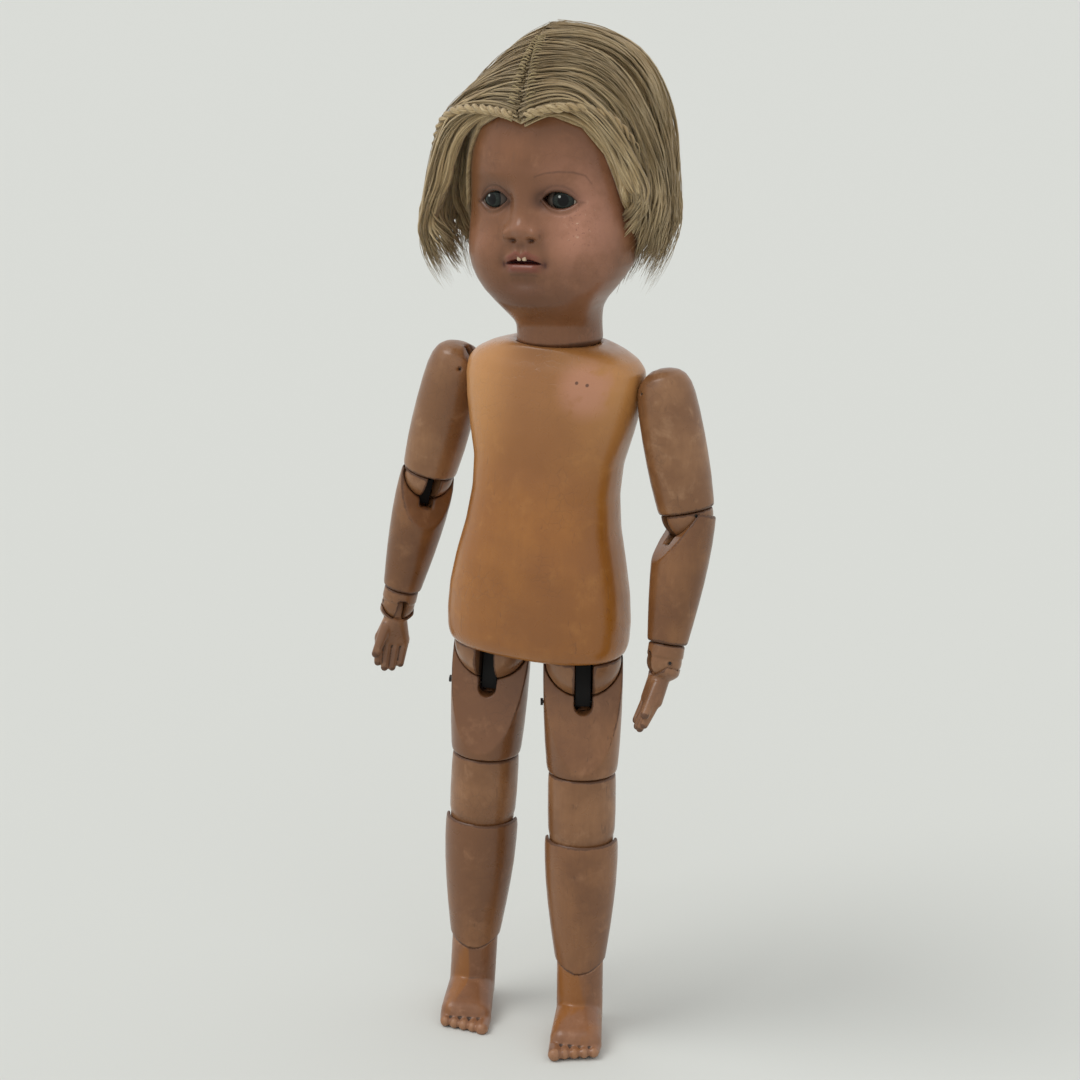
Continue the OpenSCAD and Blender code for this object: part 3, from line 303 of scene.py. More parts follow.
def carved(node, name, voxel, rounds):
    """The CAD node's own shape as one carved piece: its mesh is welded, remeshed to an even voxel size in
    millimetres, and eased rounds times. rub is high where a point stands out from its neighbours' mean, grime
    where it lies below it."""
    bm = bmesh.new()
    bm.from_mesh(nodes[node].data)
    bmesh.ops.remove_doubles(bm, verts=bm.verts, dist=WELD * MM)
    mesh = bpy.data.meshes.new(name)
    bm.to_mesh(mesh)
    bm.free()
    obj = bpy.data.objects.new(name, mesh)
    bpy.context.collection.objects.link(obj)
    remesh = obj.modifiers.new("remesh", "REMESH")
    remesh.mode = "VOXEL"
    remesh.voxel_size = voxel * MM
    done = bpy.data.meshes.new_from_object(obj.evaluated_get(bpy.context.evaluated_depsgraph_get()))
    obj.modifiers.clear()
    obj.data = done
    done.name = name
    co = points_of(done)
    edges = np.empty(len(done.edges) * 2, dtype=np.int32)
    done.edges.foreach_get("vertices", edges)
    edges = edges.reshape(-1, 2)
    degree = np.bincount(edges.ravel(), minlength=len(co)).astype(float)
    for k in range(rounds):
        co = co + EASE * (neighbour_mean(co, edges, degree) - co)
        co = co - UNDO_EASE * (neighbour_mean(co, edges, degree) - co) if k % 2 else co
    done.vertices.foreach_set("co", (co * MM).ravel())
    done.update()
    normal = np.empty(co.size)
    done.vertices.foreach_get("normal", normal)
    bulge = ((co - neighbour_mean(co, edges, degree)) * normal.reshape(-1, 3)).sum(1)[:, None] / voxel
    for _ in range(MASK_ROUNDS):
        bulge = (1 - MASK_SHARE) * bulge + MASK_SHARE * neighbour_mean(bulge, edges, degree)
    low, high = EDGE_RANGE
    for key, way in (("rub", 1), ("grime_and_shade", -1)):
        layer = done.attributes.new(key, "FLOAT", "POINT")
        mask = np.clip((way * bulge[:, 0] - low) / (high - low), 0, 1)
        layer.data.foreach_set("value", mask.astype(np.float32))
    done.shade_smooth()
    return obj


# Limbs: turned and painted wooden pieces, each carved from its CAD node and worn at its rims. The hip balls
# and thighs are also black in the slot round the steel strap, and the thighs dirty in the seam at their top.
LIMB_PIECES = (     # node, paint, voxel in millimetres, rounds of easing
    ("upper_arm", "upper", 0.65, 7), ("elbow_ball", "ball", 0.5, 5), ("forearm", "arm", 0.6, 7),
    ("wrist_block", "ball", 0.4, 4), ("hand", "hand", 0.38, 9), ("hip_ball", "ball", 0.6, 6),
    ("thigh", "leg", 0.42, 9), ("knee_block", "ball", 0.6, 6), ("calf", "leg", 0.7, 7),
    ("foot", "foot", 0.5, 9))
STRAP_REACH = 6.0                   # millimetres from the strap within which the wood may be in its slot
SOOT_REACH, SOOT_EDGE = 2.3, 0.8    # how far the black comes out of the slot, and its soft edge
SHELL, SHELL_EDGE = 0.4, 0.5        # depth under the ball's surface at which its slot starts
SEAM, SEAM_EDGE, SEAM_DIRT = 1.4, 0.8, 0.85

for side, _ in SIDES:
    strap = nodes[side + "_hip_link"].data
    strap_y = points_of(strap)[:, 1].mean()
    ball_centre = points_of(nodes[side + "_hip_pin"].data).mean(0)
    near_strap = BVHTree.FromPolygons(points_of(strap).tolist(), [tuple(f.vertices) for f in strap.polygons])
    for part, kind, voxel, rounds in LIMB_PIECES:
        name = side + "_" + part
        piece = carved(name, name + "_wood", voxel, rounds)
        if part in ("thigh", "hip_ball"):
            co = points_of(piece.data)
            gap = np.array([near_strap.find_nearest(p, STRAP_REACH)[3] or STRAP_REACH for p in co.tolist()])
            darkening = np.where(co[:, 1] < strap_y, np.clip((SOOT_REACH - gap) / SOOT_EDGE, 0, 1), 0)
            if part == "hip_ball":
                depth = np.linalg.norm(co - ball_centre, axis=1)
                inside = np.clip((np.median(depth) - SHELL - depth) / SHELL_EDGE, 0, 1)
                darkening = np.maximum(darkening, inside * np.clip(STRAP_REACH - gap, 0, 1))
            else:
                seam = np.clip((co[:, 2] - co[:, 2].max() + SEAM) / SEAM_EDGE, 0, 1)
                darkening = np.maximum(darkening, SEAM_DIRT * seam)
            layer = piece.data.attributes["grime_and_shade"].data
            grime_and_shade = np.empty(len(layer), dtype=np.float32)
            layer.foreach_get("value", grime_and_shade)
            layer.foreach_set("value", np.maximum(grime_and_shade, darkening).astype(np.float32))
        finish_piece(piece, limb_paint[kind], name, "limb_enamel", name)


# Torso: carved trunk under glossy orange enamel, darker brown over the middle, with painted light: paler
# towards the shoulders, and a pinkish painted highlight over the left breast.
torso_wood = carved("torso", "torso_wood", 0.95, 14)
g, out = enamel("torso_enamel", rgb(168, 108, 40), rgb(152, 94, 32), rgb(184, 125, 58), 5.2)
at_x, at_y, at_z = g.node("ShaderNodeSeparateXYZ", {0: g.place()}).outputs
middle = g.times(g.span(at_x, -0.024, 0.004), g.span(at_x, 0.052, 0.022))
brown = g.times(g.times(middle, g.span(g.noise(g.place(), 16, 3, 0.5), 0.30, 0.62)), 0.7)
# A pinkish painted highlight over the left breast.
HIGHLIGHT_AT = (0.034, -0.032, 0.323)
chest_highlight = g.times(g.span(g.distance(g.place(), HIGHLIGHT_AT), 0.020, 0.008),
               g.span(g.noise(g.place(), 90, 4), 0.36, 0.56))
# Paler towards the shoulders: painted light on the top.
colour = g.mix(g.times(g.span(at_z, 0.262, 0.322), 0.6), out["Colour"], rgb(206, 150, 92))
colour = g.mix(brown, colour, rgb(130, 79, 32))
colour = g.mix(g.times(chest_highlight, 0.65), colour, rgb(190, 134, 108))
from_front = g.vector(at_x, 0.0, at_z)
for spot in ((0.0268, 0, 0.3235), (0.0315, 0, 0.3228)):     # two small dark chips on the chest
    chip = g.times(g.span(g.distance(from_front, spot), 0.0010, 0.0005), g.span(at_y, -0.015, -0.02))
    colour = g.mix(g.times(chip, 0.8), colour, rgb(70, 40, 24))
torso_paint = material(g, colour, out["Roughness"], out["Height"], 0.5, 0.8,
                       **{"Coat Weight": 0.5, "Coat Roughness": 0.24, "Specular IOR Level": 0.35})
finish_piece(torso_wood, torso_paint, "torso", "torso_enamel", "torso")


# Head: one carved and painted wooden surface with neck, jaw, lips, nose, lids and open mouth, leant by the
# neck's spring. Its grid runs round from the back over the face, and up from the neck's foot to the crown.
# Measures here are millimetres from the neck's seat.
HEAD_AT = np.array([4.66, -3.68, 337.8])    # the seat's place in the doll
LEAN, LEAN_Z = math.radians(4), 14.15
HEAD_ROWS = np.array([      # height, half width, front and back from the neck's axis, middle
    [-2.5, 17.2, 17.2, 17.2, 0], [-0.6, 19.0, 19.0, 19.0, 0], [0.4, 19.5, 19.5, 19.5, 0],
    [4, 19.3, 19.3, 19.3, 0], [8, 19.3, 19.8, 19.3, 0], [10, 19.6, 21.4, 19.4, -1],
    [12, 20.2, 24.0, 19.5, -2.5], [14, 20.9, 26.8, 19.6, -4], [16, 21.9, 29.2, 19.7, -5.5],
    [20, 25.0, 32.8, 20.0, -7], [25, 30.2, 34.0, 20.6, -8], [30, 34.4, 34.2, 22.0, -7],
    [36, 37.9, 34.3, 27, -5], [42, 39.5, 34.4, 33, -3.5], [48, 40.0, 34.1, 39, -2],
    [54, 39.9, 33.7, 43.5, -1], [60, 39.5, 33.2, 46, 0], [66, 39.2, 32.9, 46.9, 0],
    [72, 39.0, 33.2, 46.9, 0], [79, 38.6, 33.4, 46.5, 0], [88.4, 37.6, 32.3, 45.1, 0],
    [97.8, 35.9, 29.8, 42.8, 0], [107.2, 32.8, 26.2, 38.6, 0], [115.2, 28.5, 22.0, 33.1, 0],
    [121.9, 23.0, 17.2, 26.7, 0], [127.3, 16.8, 12.0, 19.3, 0], [131.3, 10.1, 7.0, 12.0, 0],
    [133.5, 4.0, 3.0, 4.6, 0]])
HEAD_POWER = 2.22
HEAD_COLUMNS = 400
ROW_STEP, ROW_REACH, ROW_SPREAD = 0.25, 8, 3.6      # the rows are softened at this step over this many steps
EYE_X, EYE_Z, EYE_W = 17.2, 66.4, 7.6
MOUTH_Z, MOUTH_W = 40.1, 9.8
EYE_DEPTH, MOUTH_DEPTH = 4.4, 3.6
NOSE_Z = 54.3


def on_head(points):
    """Points of the upright head, in millimetres from the neck's seat, as points of the leaning doll."""
    points = np.asarray(points, dtype=float)
    x, z = points[..., 0], points[..., 2] - LEAN_Z
    c, s = math.cos(LEAN), math.sin(LEAN)
    return np.stack([c * x - s * z, points[..., 1], LEAN_Z + s * x + c * z], -1) + HEAD_AT


def hump(x, z, x0, z0, sx, sz):
    """A bell of height 1 at (x0, z0), with the given spreads."""
    return np.exp(-((x - x0) / sx) ** 2 - ((z - z0) / sz) ** 2)


def eased(v, low, high):
    """0 below low and 1 above high, smooth between; low may be above high."""
    t = np.clip((v - low) / (high - low), 0, 1)
    return t * t * (3 - 2 * t)


def stroke(x, z, points, width):
    """1 on a brush stroke through the points, which thins to its ends, and 0 beside it."""
    best = np.full(x.shape, 1e9)
    along = np.zeros(x.shape)
    pts = np.asarray(points, dtype=float)
    for k in range(len(pts) - 1):
        a, b = pts[k], pts[k + 1]
        t = np.clip(((x - a[0]) * (b[0] - a[0]) + (z - a[1]) * (b[1] - a[1])) / ((b - a) ** 2).sum(), 0, 1)
        d = np.hypot(x - a[0] - t * (b[0] - a[0]), z - a[1] - t * (b[1] - a[1]))
        along = np.where(d < best, (k + t) / (len(pts) - 1), along)
        best = np.minimum(best, d)
    half = width * (0.35 + 0.65 * np.sin(np.pi * np.clip(along * 0.9 + 0.08, 0, 1)))
    return eased(best, half + 0.28, half - 0.28)


heights = np.concatenate([[-2.5, -1.4, -0.6, 0.0, 0.4], np.arange(1.2, 10, 1.1), np.arange(10.2, 21, 0.5),
                          np.arange(21, 30, 0.6), np.arange(30, 80, 0.4), np.arange(80, 126, 1.15),
                          [126.5, 128, 129.5, 130.8, 132, 132.8, 133.5]])
fine = np.arange(-2.5, 133.6, ROW_STEP)
kernel = np.exp(-(np.arange(-ROW_REACH, ROW_REACH + 1) / ROW_SPREAD) ** 2)
kernel /= kernel.sum()
rows = []
for column in (1, 2, 3, 4):
    line = np.interp(fine, HEAD_ROWS[:, 0], HEAD_ROWS[:, column])
    soft = np.convolve(np.pad(line, ROW_REACH, mode="edge"), kernel, "valid")
    rows.append(np.interp(heights, fine, soft))
half_w, front, back, middle_y = (r[:, None] for r in rows)
t = np.linspace(-1, 1, HEAD_COLUMNS, endpoint=False)
theta = math.pi * (0.56 * t + 0.44 * t ** 3)[None, :]
c, s = np.cos(theta), np.sin(theta)
hx = half_w * np.sign(s) * np.abs(s) ** (2 / HEAD_POWER)
hy = middle_y + np.where(c > 0, -(front + middle_y), back - middle_y) * np.abs(c) ** (2 / HEAD_POWER)
hz = np.broadcast_to(heights[:, None], hx.shape)
ax = np.abs(hx)
facing = eased(c, 0.05, 0.45) * eased(hz, 10, 15)

# The eye opening is an almond between two lid lines, and the mouth a slit that droops at its corners. push is
# how far the surface stands out from the plain head at each point: nose, cheeks, chin, lips and lids.
u_eye = (ax - EYE_X) / EYE_W
dz = hz - EYE_Z + 0.5 * u_eye
lid_top = 3.9 * np.clip(1 - np.abs(u_eye + 0.05) ** 2.4, -0.4, 1)
lid_low = -3.5 * np.clip(1 - np.abs(u_eye) ** 2.2, -0.4, 1)
open_eye = np.where(np.abs(u_eye) < 1, np.minimum(lid_top - dz, dz - lid_low), -1)
near_eye = eased(np.abs(u_eye), 1.4, 0.95)
lip_w = eased(ax, MOUTH_W + 0.6, MOUTH_W * 0.6)
cupid = 1.1 * np.exp(-((ax - 2.6) / 1.8) ** 2) - 0.6 * np.exp(-(ax / 1.2) ** 2)
gap_half = 1.2 * np.clip(1 - (ax / MOUTH_W) ** 2, 0, 1) ** 0.8
mouth_mid = MOUTH_Z - 0.4 - 0.014 * ax ** 2
open_mouth = np.where(ax < MOUTH_W, gap_half - np.abs(hz - mouth_mid), -1)
upper_z = mouth_mid + gap_half + 1.6 + cupid
lower_z = mouth_mid - gap_half - 1.8
push = (4.6 * hump(hx, hz, 0, NOSE_Z, 6.2, 4.4) + 3.0 * hump(ax, hz, 6.8, 52.2, 2.7, 3.0)
        + 2.9 * hump(hx, hz, 0, 62.5, 5.2, 8) + 0.9 * hump(hx, hz, 0, 73, 7, 7)
        - 0.6 * hump(ax, hz, 10.4, 52, 1.6, 3.6) - 0.6 * hump(hx, hz, 0, 46.5, 1.5, 2.2)
        + 0.45 * hump(ax, hz, 2.7, 46, 1.3, 2.4) - 2.0 * hump(ax, hz, 4.6, 49.2, 1.8, 1.0)
        - 2.4 * hump(ax, hz, EYE_X - 1.5, EYE_Z + 1, 9.5, 6.5) - 1.1 * hump(ax, hz, 8.0, EYE_Z - 1, 3.0, 5)
        + 0.9 * hump(ax, hz, 15, 78, 11, 3.6) + 2.0 * hump(ax, hz, 23, 43, 10, 11)
        - 1.3 * hump(ax, hz, 11.2, 38.0, 2.0, 2.8) + 1.9 * hump(hx, hz, 0, 21.5, 10, 6.2)
        - 1.1 * hump(hx, hz, 0, 30.4, 9, 2.6) + 1.2 * hump(hx, hz, 0, 44, 8, 3.5)
        + 1.0 * lip_w * np.exp(-((hz - upper_z) / 1.6) ** 2)
        + 1.8 * eased(ax, 8.6, 4.5) * np.exp(-((hz - lower_z) / 1.9) ** 2)
        + near_eye * (0.75 * np.exp(-((dz - lid_top - 1.0) / 0.85) ** 2)
                      - 0.22 * np.exp(-((dz - lid_top - 2.9) / 1.0) ** 2)
                      + 0.55 * np.exp(-((dz - lid_low + 0.9) / 0.8) ** 2)
                      - 0.4 * np.exp(-((dz - lid_low + 2.6) / 0.9) ** 2)))
push = push - EYE_DEPTH * eased(open_eye, 0.0, 0.5) - MOUTH_DEPTH * eased(open_mouth, 0.0, 0.6)
push = push * facing
away = np.hypot(hx, hy) + 1e-9
head_points = np.stack([hx * (1 + push / away), hy * (1 + push / away), hz], -1).reshape(-1, 3)
head_points = on_head(np.concatenate([head_points, [[0, 0, heights[0] - 0.4], [0, 0, heights[-1] + 0.4]]]))


def grid_faces(m, n):
    """Quads of an m by n grid whose second direction closes on itself."""
    i = np.arange(m - 1)[:, None] * n
    j = np.arange(n)[None, :]
    k = (j + 1) % n
    return np.stack([i + j, i + k, i + n + k, i + n + j], -1).reshape(-1, 4)


def capped(m, n):
    """Faces of a closed m by n grid with one more point below its first row and one above its last."""
    j = np.arange(n)
    k = (j + 1) % n
    return [grid_faces(m, n), np.stack([np.full(n, m * n), k, j], 1),
            np.stack([np.full(n, m * n + 1), (m - 1) * n + j, (m - 1) * n + k], 1)]


def with_poles(values):
    """Values of the head's grid as one flat array, with zeros for its two end points."""
    return np.concatenate([(values * np.ones(hx.shape)).ravel(), [0, 0]])


# The painted brow, lashes and lips, the wear and dirt of the face, and its painted shade and painted light,
# are masks on the same grid.
BROW = ((6.4, 77.2), (11, 78.8), (17, 79.4), (23, 79.0), (27.5, 77.4), (29.8, 73.6))
brow = 0.42 * stroke(hx, hz, BROW, 0.42)
lash_line = 0.6 * np.exp(-((dz - lid_top - 0.1) / 1.0) ** 2) * eased(np.abs(u_eye + 0.1), 1.25, 1.0)
EYE_END = EYE_X + EYE_W
lash_tail = 0.3 * stroke(ax, hz, ((EYE_END - 1.6, EYE_Z - 0.1), (EYE_END + 2.6, EYE_Z - 0.9)), 0.7)
low_line = 0.35 * np.exp(-((dz - lid_low + 0.1) / 0.5) ** 2) * eased(np.abs(u_eye), 1.08, 0.9)
nostril = 0.95 * hump(ax, hz, 4.6, 49.2, 1.7, 0.9)
ink = np.maximum.reduce([brow, lash_line, lash_tail, low_line, nostril]) * facing
outer_lip = eased(hz, upper_z + 1.9, upper_z + 0.6) * eased(hz, lower_z - 2.4, lower_z - 0.8)
lips = lip_w * outer_lip * facing
mouth_corner = 0.6 * hump(ax, hz, MOUTH_W + 0.4, 38.2, 1.5, 1.7)
inside = np.maximum(eased(open_mouth, -0.35, 0.3), mouth_corner) * facing
# The walls of the eye openings round the domes are painted near black: painted shade in the sockets.
socket = eased(open_eye, -0.1, 0.4) * facing
# Painted shade: round the eyes and in their inner corners, under the nose, over the lower face and beside the
# mouth.
from_eye = np.hypot((ax - EYE_X + 1.2) / 10.5, (hz - EYE_Z - 0.8) / 6.0)
around_eye = np.exp(-np.clip((from_eye - 0.62) / 0.42, 0, 9) ** 2)
inner_corner = hump(ax, hz, EYE_X - EYE_W - 1.2, EYE_Z + 0.6, 3.0, 3.6)
shade = facing * np.clip(0.62 * around_eye + 0.8 * inner_corner + 0.55 * hump(hx, hz, 0, 47.0, 7, 2.2)
                         + 0.6 * hump(hx, hz, -2, 25, 24, 11) + 0.30 * hump(ax, hz, 10, 43, 3, 6), 0, 0.85)
# Pink blush on the cheeks and nose, much stronger on the doll's left cheek and temple: partly the cheeks'
# paint, partly painted light on the lit side.
blush_and_painted_light = facing * (1.05 * hump(hx, hz, 26, 58, 15, 26) + 0.35 * hump(hx, hz, -24, 46, 10, 10)
                  + 0.3 * hump(hx, hz, 0, 54, 6, 5))
scuff = facing * hump(hx, hz, 25, 54, 6, 9)
# Painted shade in the lid creases, beside the nose's wings, at the mouth's corners and under the lower lip,
# and a darker band at the neck's foot.
crease_shade_and_neck_seam = facing * np.clip(0.6 * near_eye * np.exp(-((dz - lid_top - 2.8) / 1.1) ** 2)
                        + 0.55 * hump(ax, hz, 8.8, 51, 1.2, 3.2) + 0.6 * hump(ax, hz, 10.8, 38, 1.1, 2.2)
                        + 0.4 * lip_w * np.exp(-((hz - lower_z + 3.0) / 1.2) ** 2), 0, 1)
crease_shade_and_neck_seam = np.maximum(crease_shade_and_neck_seam, 0.5 * eased(hz, 2.2, 0.4))
rub_mask = facing * np.clip(0.5 * hump(hx, hz, 0, NOSE_Z, 3.4, 2.8) + 0.3 * hump(hx, hz, 0, 20, 8, 4), 0, 1)
masks = {"ink": ink, "lips": lips, "inside": inside, "socket": socket, "blush_and_painted_light": blush_and_painted_light, "scuff": scuff,
         "grime_and_shade": crease_shade_and_neck_seam, "rub": rub_mask, "shade": shade}
masks = {key: with_poles(mask) for key, mask in masks.items()}
head = new_object("head_wood", head_points, capped(*hx.shape), masks)
g, out = enamel("face_enamel", rgb(134, 89, 59), rgb(118, 77, 49), rgb(154, 108, 77), 3.1, rgb(112, 80, 58))
at = g.place()
mottle = g.noise(at, 60, 5, 0.62)
# Blush, with painted light on the doll's left cheek.
colour = g.mix(g.times(g.attribute("blush_and_painted_light"), g.span(mottle, 0.3, 0.6, 0.35, 0.8)), out["Colour"],
               rgb(186, 132, 108))
# Painted shade, in brown.
colour = g.mix(g.times(g.attribute("shade"), g.span(mottle, 0.25, 0.6, 0.75, 1.0)), colour, rgb(84, 51, 32))
dots = g.times(g.span(g.noise(at, 900, 2, 0.5), 0.60, 0.66), g.attribute("scuff"))
colour = g.mix(g.times(dots, 0.7), colour, rgb(120, 78, 66))
flakes = g.times(g.span(g.noise(at, 420, 4, 0.6, 0.6), 0.62, 0.68), g.attribute("scuff"))
colour = g.mix(g.times(flakes, 0.8), colour, rgb(206, 172, 146))
colour = g.mix(g.times(g.attribute("lips"), 0.75), colour, g.mix(mottle, rgb(108, 50, 38), rgb(146, 84, 68)))
colour = g.mix(g.attribute("inside"), colour, rgb(72, 22, 20))
# Painted shade in the eye sockets.
colour = g.mix(g.attribute("socket"), colour, rgb(40, 26, 22))
ink_worn = g.span(g.noise(at, 700, 3, 0.6), 0.30, 0.48, 0.6, 1.0)
colour = g.mix(g.times(g.attribute("ink"), ink_worn), colour, rgb(56, 34, 25))
face_paint = material(g, colour, out["Roughness"], out["Height"], 0.35, 0.5,
                      **{"Coat Weight": 0.15, "Coat Roughness": 0.3, "Specular IOR Level": 0.35})
finish_piece(head, face_paint, "head", "face_enamel", "head")


# Eyes: shallow glossy domes behind the lids, each painted with a large dark iris, a pupil and a painted
# highlight where a light's reflection would show. The whites take painted shade towards their rims and
# towards the nose, and each iris sits a little off its dome's middle.
DOME = (8.9, 5.2, 6.4)          # half width, depth and half height
DOME_EDGE, DOME_BACK = 0.9, 1.2     # the dome's rim turns in to this share, and lies this far behind it
EYE_FRONT = 28.6
EYE_TURN = math.radians(19)
GAZE = {-1: 0.8, 1: -0.9}       # how far each iris lies off its dome's middle, by side
GAZE_UP = 0.2
a = np.linspace(0, math.pi / 2, 26)[1:, None]
b = np.linspace(0, 2 * math.pi, 64, endpoint=False)[None, :]
dome_x, dome_z = DOME[0] * np.sin(a) * np.cos(b), DOME[2] * np.sin(a) * np.sin(b)
dome_y = -DOME[1] * np.cos(a) * np.ones(b.shape)
rim = np.stack([dome_x[-1] * DOME_EDGE, dome_y[-1] + DOME_BACK, dome_z[-1] * DOME_EDGE], -1)[None]
dome = np.concatenate([np.stack([dome_x, dome_y, dome_z], -1), rim])
flat = np.concatenate([dome.reshape(-1, 3), [[0, -DOME[1], 0], [0, DOME_BACK, 0]]])
g = new_graph("eye_paint")
offset = g.vector(g.attribute("iris_x"), g.attribute("iris_z"))
length = g.node("ShaderNodeVectorMath", {0: offset}, operation="LENGTH").outputs["Value"]
angle = g.maths("ARCTAN2", g.attribute("iris_z"), g.attribute("iris_x"))
spokes = g.noise(g.vector(g.times(angle, 6.0), g.times(length, 0.5)), 3.0, 2)
iris = g.mix(g.span(spokes, 0.35, 0.65), rgb(16, 19, 17), rgb(48, 56, 50))
iris = g.mix(g.span(length, 3.6, 4.9), iris, rgb(10, 10, 9))
iris = g.mix(g.span(length, 2.8, 2.4), iris, rgb(4, 4, 4))
white = g.mix(g.noise(g.place(), 300, 4), rgb(132, 120, 104), rgb(186, 178, 164))
# Painted shade on the whites: under the lids at their rims, and deep in the inner corners by the nose.
white = g.mix(g.span(length, 5.8, 8.0), white, rgb(96, 64, 50))
white = g.mix(g.span(g.attribute("inner"), 2.0, 5.0, 0.0, 0.85), white, rgb(44, 28, 22))
colour = g.mix(g.span(length, 5.15, 4.85), white, iris)
# A painted highlight: a pale spot where the light's reflection would be.
from_painted_highlight = g.distance(offset, (-1.6, 1.7, 0.0))
colour = g.mix(g.span(from_painted_highlight, 0.75, 0.35, 0.0, 0.8), colour, rgb(196, 200, 194))
eye_paint = material(g, colour, 0.12, g.noise(g.place(), 500, 3), 0.05, 0.2,
                     **{"Specular IOR Level": 0.12, "Coat Weight": 0.22, "Coat Roughness": 0.04})
for side, sign in SIDES:
    turn_out = sign * EYE_TURN
    ca, sa = math.cos(turn_out), math.sin(turn_out)
    eye = np.stack([flat[:, 0] * ca - flat[:, 1] * sa, flat[:, 0] * sa + flat[:, 1] * ca, flat[:, 2]], 1)
    eye = on_head(eye + [sign * EYE_X, -EYE_FRONT + DOME[1], EYE_Z])
    marks = {"iris_x": flat[:, 0] - GAZE[sign], "iris_z": flat[:, 2] - GAZE_UP, "inner": -sign * flat[:, 0]}
    piece = new_object(side + "_eye_dome", eye, capped(*dome.shape[:2]), marks)
    finish_piece(piece, eye_paint, "head", "eye_paint")
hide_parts("eyes")


# Teeth: two small rounded blocks whose tips show below the upper lip.
TOOTH = np.array([1.0, 1.0, 1.15])      # half width, half depth and half height
TOOTH_X, TOOTH_Y, TOOTH_UP = 1.3, -34.9, 1.2


def root(v):
    """The square root of v's size, with v's sign."""
    return np.sign(v) * np.abs(v) ** 0.5


g = new_graph("tooth_paint")
tooth_paint = material(g, g.mix(g.noise(g.place(), 600, 3), rgb(170, 142, 112), rgb(212, 190, 160)), 0.25,
                       g.noise(g.place(), 900, 3), 0.1, 0.2)
a = np.linspace(-math.pi / 2, math.pi / 2, 22)[1:-1, None]
b = np.linspace(0, 2 * math.pi, 32, endpoint=False)[None, :]
block = np.stack([root(np.cos(a)) * root(np.cos(b)), root(np.cos(a)) * root(np.sin(b)),
                  root(np.sin(a)) * np.ones(b.shape)], -1)
tooth_faces = capped(*block.shape[:2])
block = np.concatenate([block.reshape(-1, 3), [[0, 0, -1], [0, 0, 1]]]) * TOOTH
for side, sign in SIDES:
    tooth_points = on_head(block + [sign * TOOTH_X, TOOTH_Y, MOUTH_Z + TOOTH_UP])
    finish_piece(new_object(side + "_tooth", tooth_points, tooth_faces), tooth_paint, "head",
                              "tooth_paint")
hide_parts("teeth")


# Wig: mohair on a sewn cap. The hair starts at the centre parting, follows the head to the sides and back,
# and hangs in loose tapering locks to the level of the mouth. A shorter layer lies close to the head below.
SKULL = np.array([0, 4.0, 72.0])        # the middle of the skull, at the level where the hair is widest
HAIR_WIDE, HAIR_HIGH = 50.5, 68.5
HAIR_FRONT, HAIR_BACK = 41.0, 47.0
LEFT_LEAN = 7.5                         # millimetres by which the top of the hair leans to the left
PART_FRONT, PART_BACK = -65, 62         # degrees from the crown to the parting's ends
HANG_FROM, HANG_SPAN = 60, 119          # degrees round from the face over which the hair hangs


def full_side(direction):
    """How far the hair stands out beyond its even shape: most at the right temple, less at the left crown."""
    x, y, z = direction[..., 0], direction[..., 1], direction[..., 2]
    right = 9.5 * eased(-x, 0.25, 0.8) * eased(z, 0.86, 0.35) * eased(y, 0.75, 0.0)
    return right + 3.5 * np.exp(-((x - 0.62) / 0.28) ** 2 - ((z - 0.72) / 0.22) ** 2)


def on_hair(direction, lift):
    """The point of the hair's surface in a direction from the skull's middle, lift millimetres out."""
    x, y, z = direction[..., 0], direction[..., 1], direction[..., 2]
    depth = np.where(y < 0, HAIR_FRONT, HAIR_BACK)
    lift = lift + LEFT_LEAN * x * np.clip(z, 0, 1) + full_side(direction)
    return SKULL + np.stack([x * (HAIR_WIDE + lift), y * (depth + lift), z * (HAIR_HIGH + lift)], -1)


def tubes(paths, width, thick, sides, outward):
    """Closed tapering tubes along many paths at once. paths is (count, steps, 3); width and thick are half
    sizes as (count, steps), the thin one along outward. Gives points, faces, and marks along and across."""
    tangent = np.gradient(paths, axis=1)
    tangent /= np.linalg.norm(tangent, axis=-1, keepdims=True) + 1e-9
    across = np.cross(tangent, outward)
    across /= np.linalg.norm(across, axis=-1, keepdims=True) + 1e-9
    up = np.cross(across, tangent)
    angle = np.linspace(0, 2 * math.pi, sides, endpoint=False)
    ring = (across[:, :, None, :] * (np.cos(angle)[None, None, :, None] * width[:, :, None, None])
            + up[:, :, None, :] * (np.sin(angle)[None, None, :, None] * thick[:, :, None, None]))
    points = (paths[:, :, None, :] + ring).reshape(-1, 3)
    count, steps = paths.shape[:2]
    base = (np.arange(count) * steps * sides)[:, None, None]
    side_faces = (grid_faces(steps, sides)[None] + base).reshape(-1, 4)
    first = base[:, :, 0] + np.arange(sides)[None, ::-1]
    last = base[:, :, 0] + (steps - 1) * sides + np.arange(sides)[None, :]
    along = np.broadcast_to(np.linspace(0, 1, steps)[None, :, None], (count, steps, sides))
    cross = np.broadcast_to(np.cos(angle)[None, None, :], (count, steps, sides))
    marks = {"along": along.ravel(), "cross": cross.ravel()}
    return points, [side_faces, np.concatenate([first, last])], marks


def softened(paths, rounds):
    """Paths with their kinks eased: each inner point moves towards the middle of its neighbours."""
    for _ in range(rounds):
        paths[:, 1:-1] = 0.5 * paths[:, 1:-1] + 0.25 * (paths[:, :-2] + paths[:, 2:])
    return paths


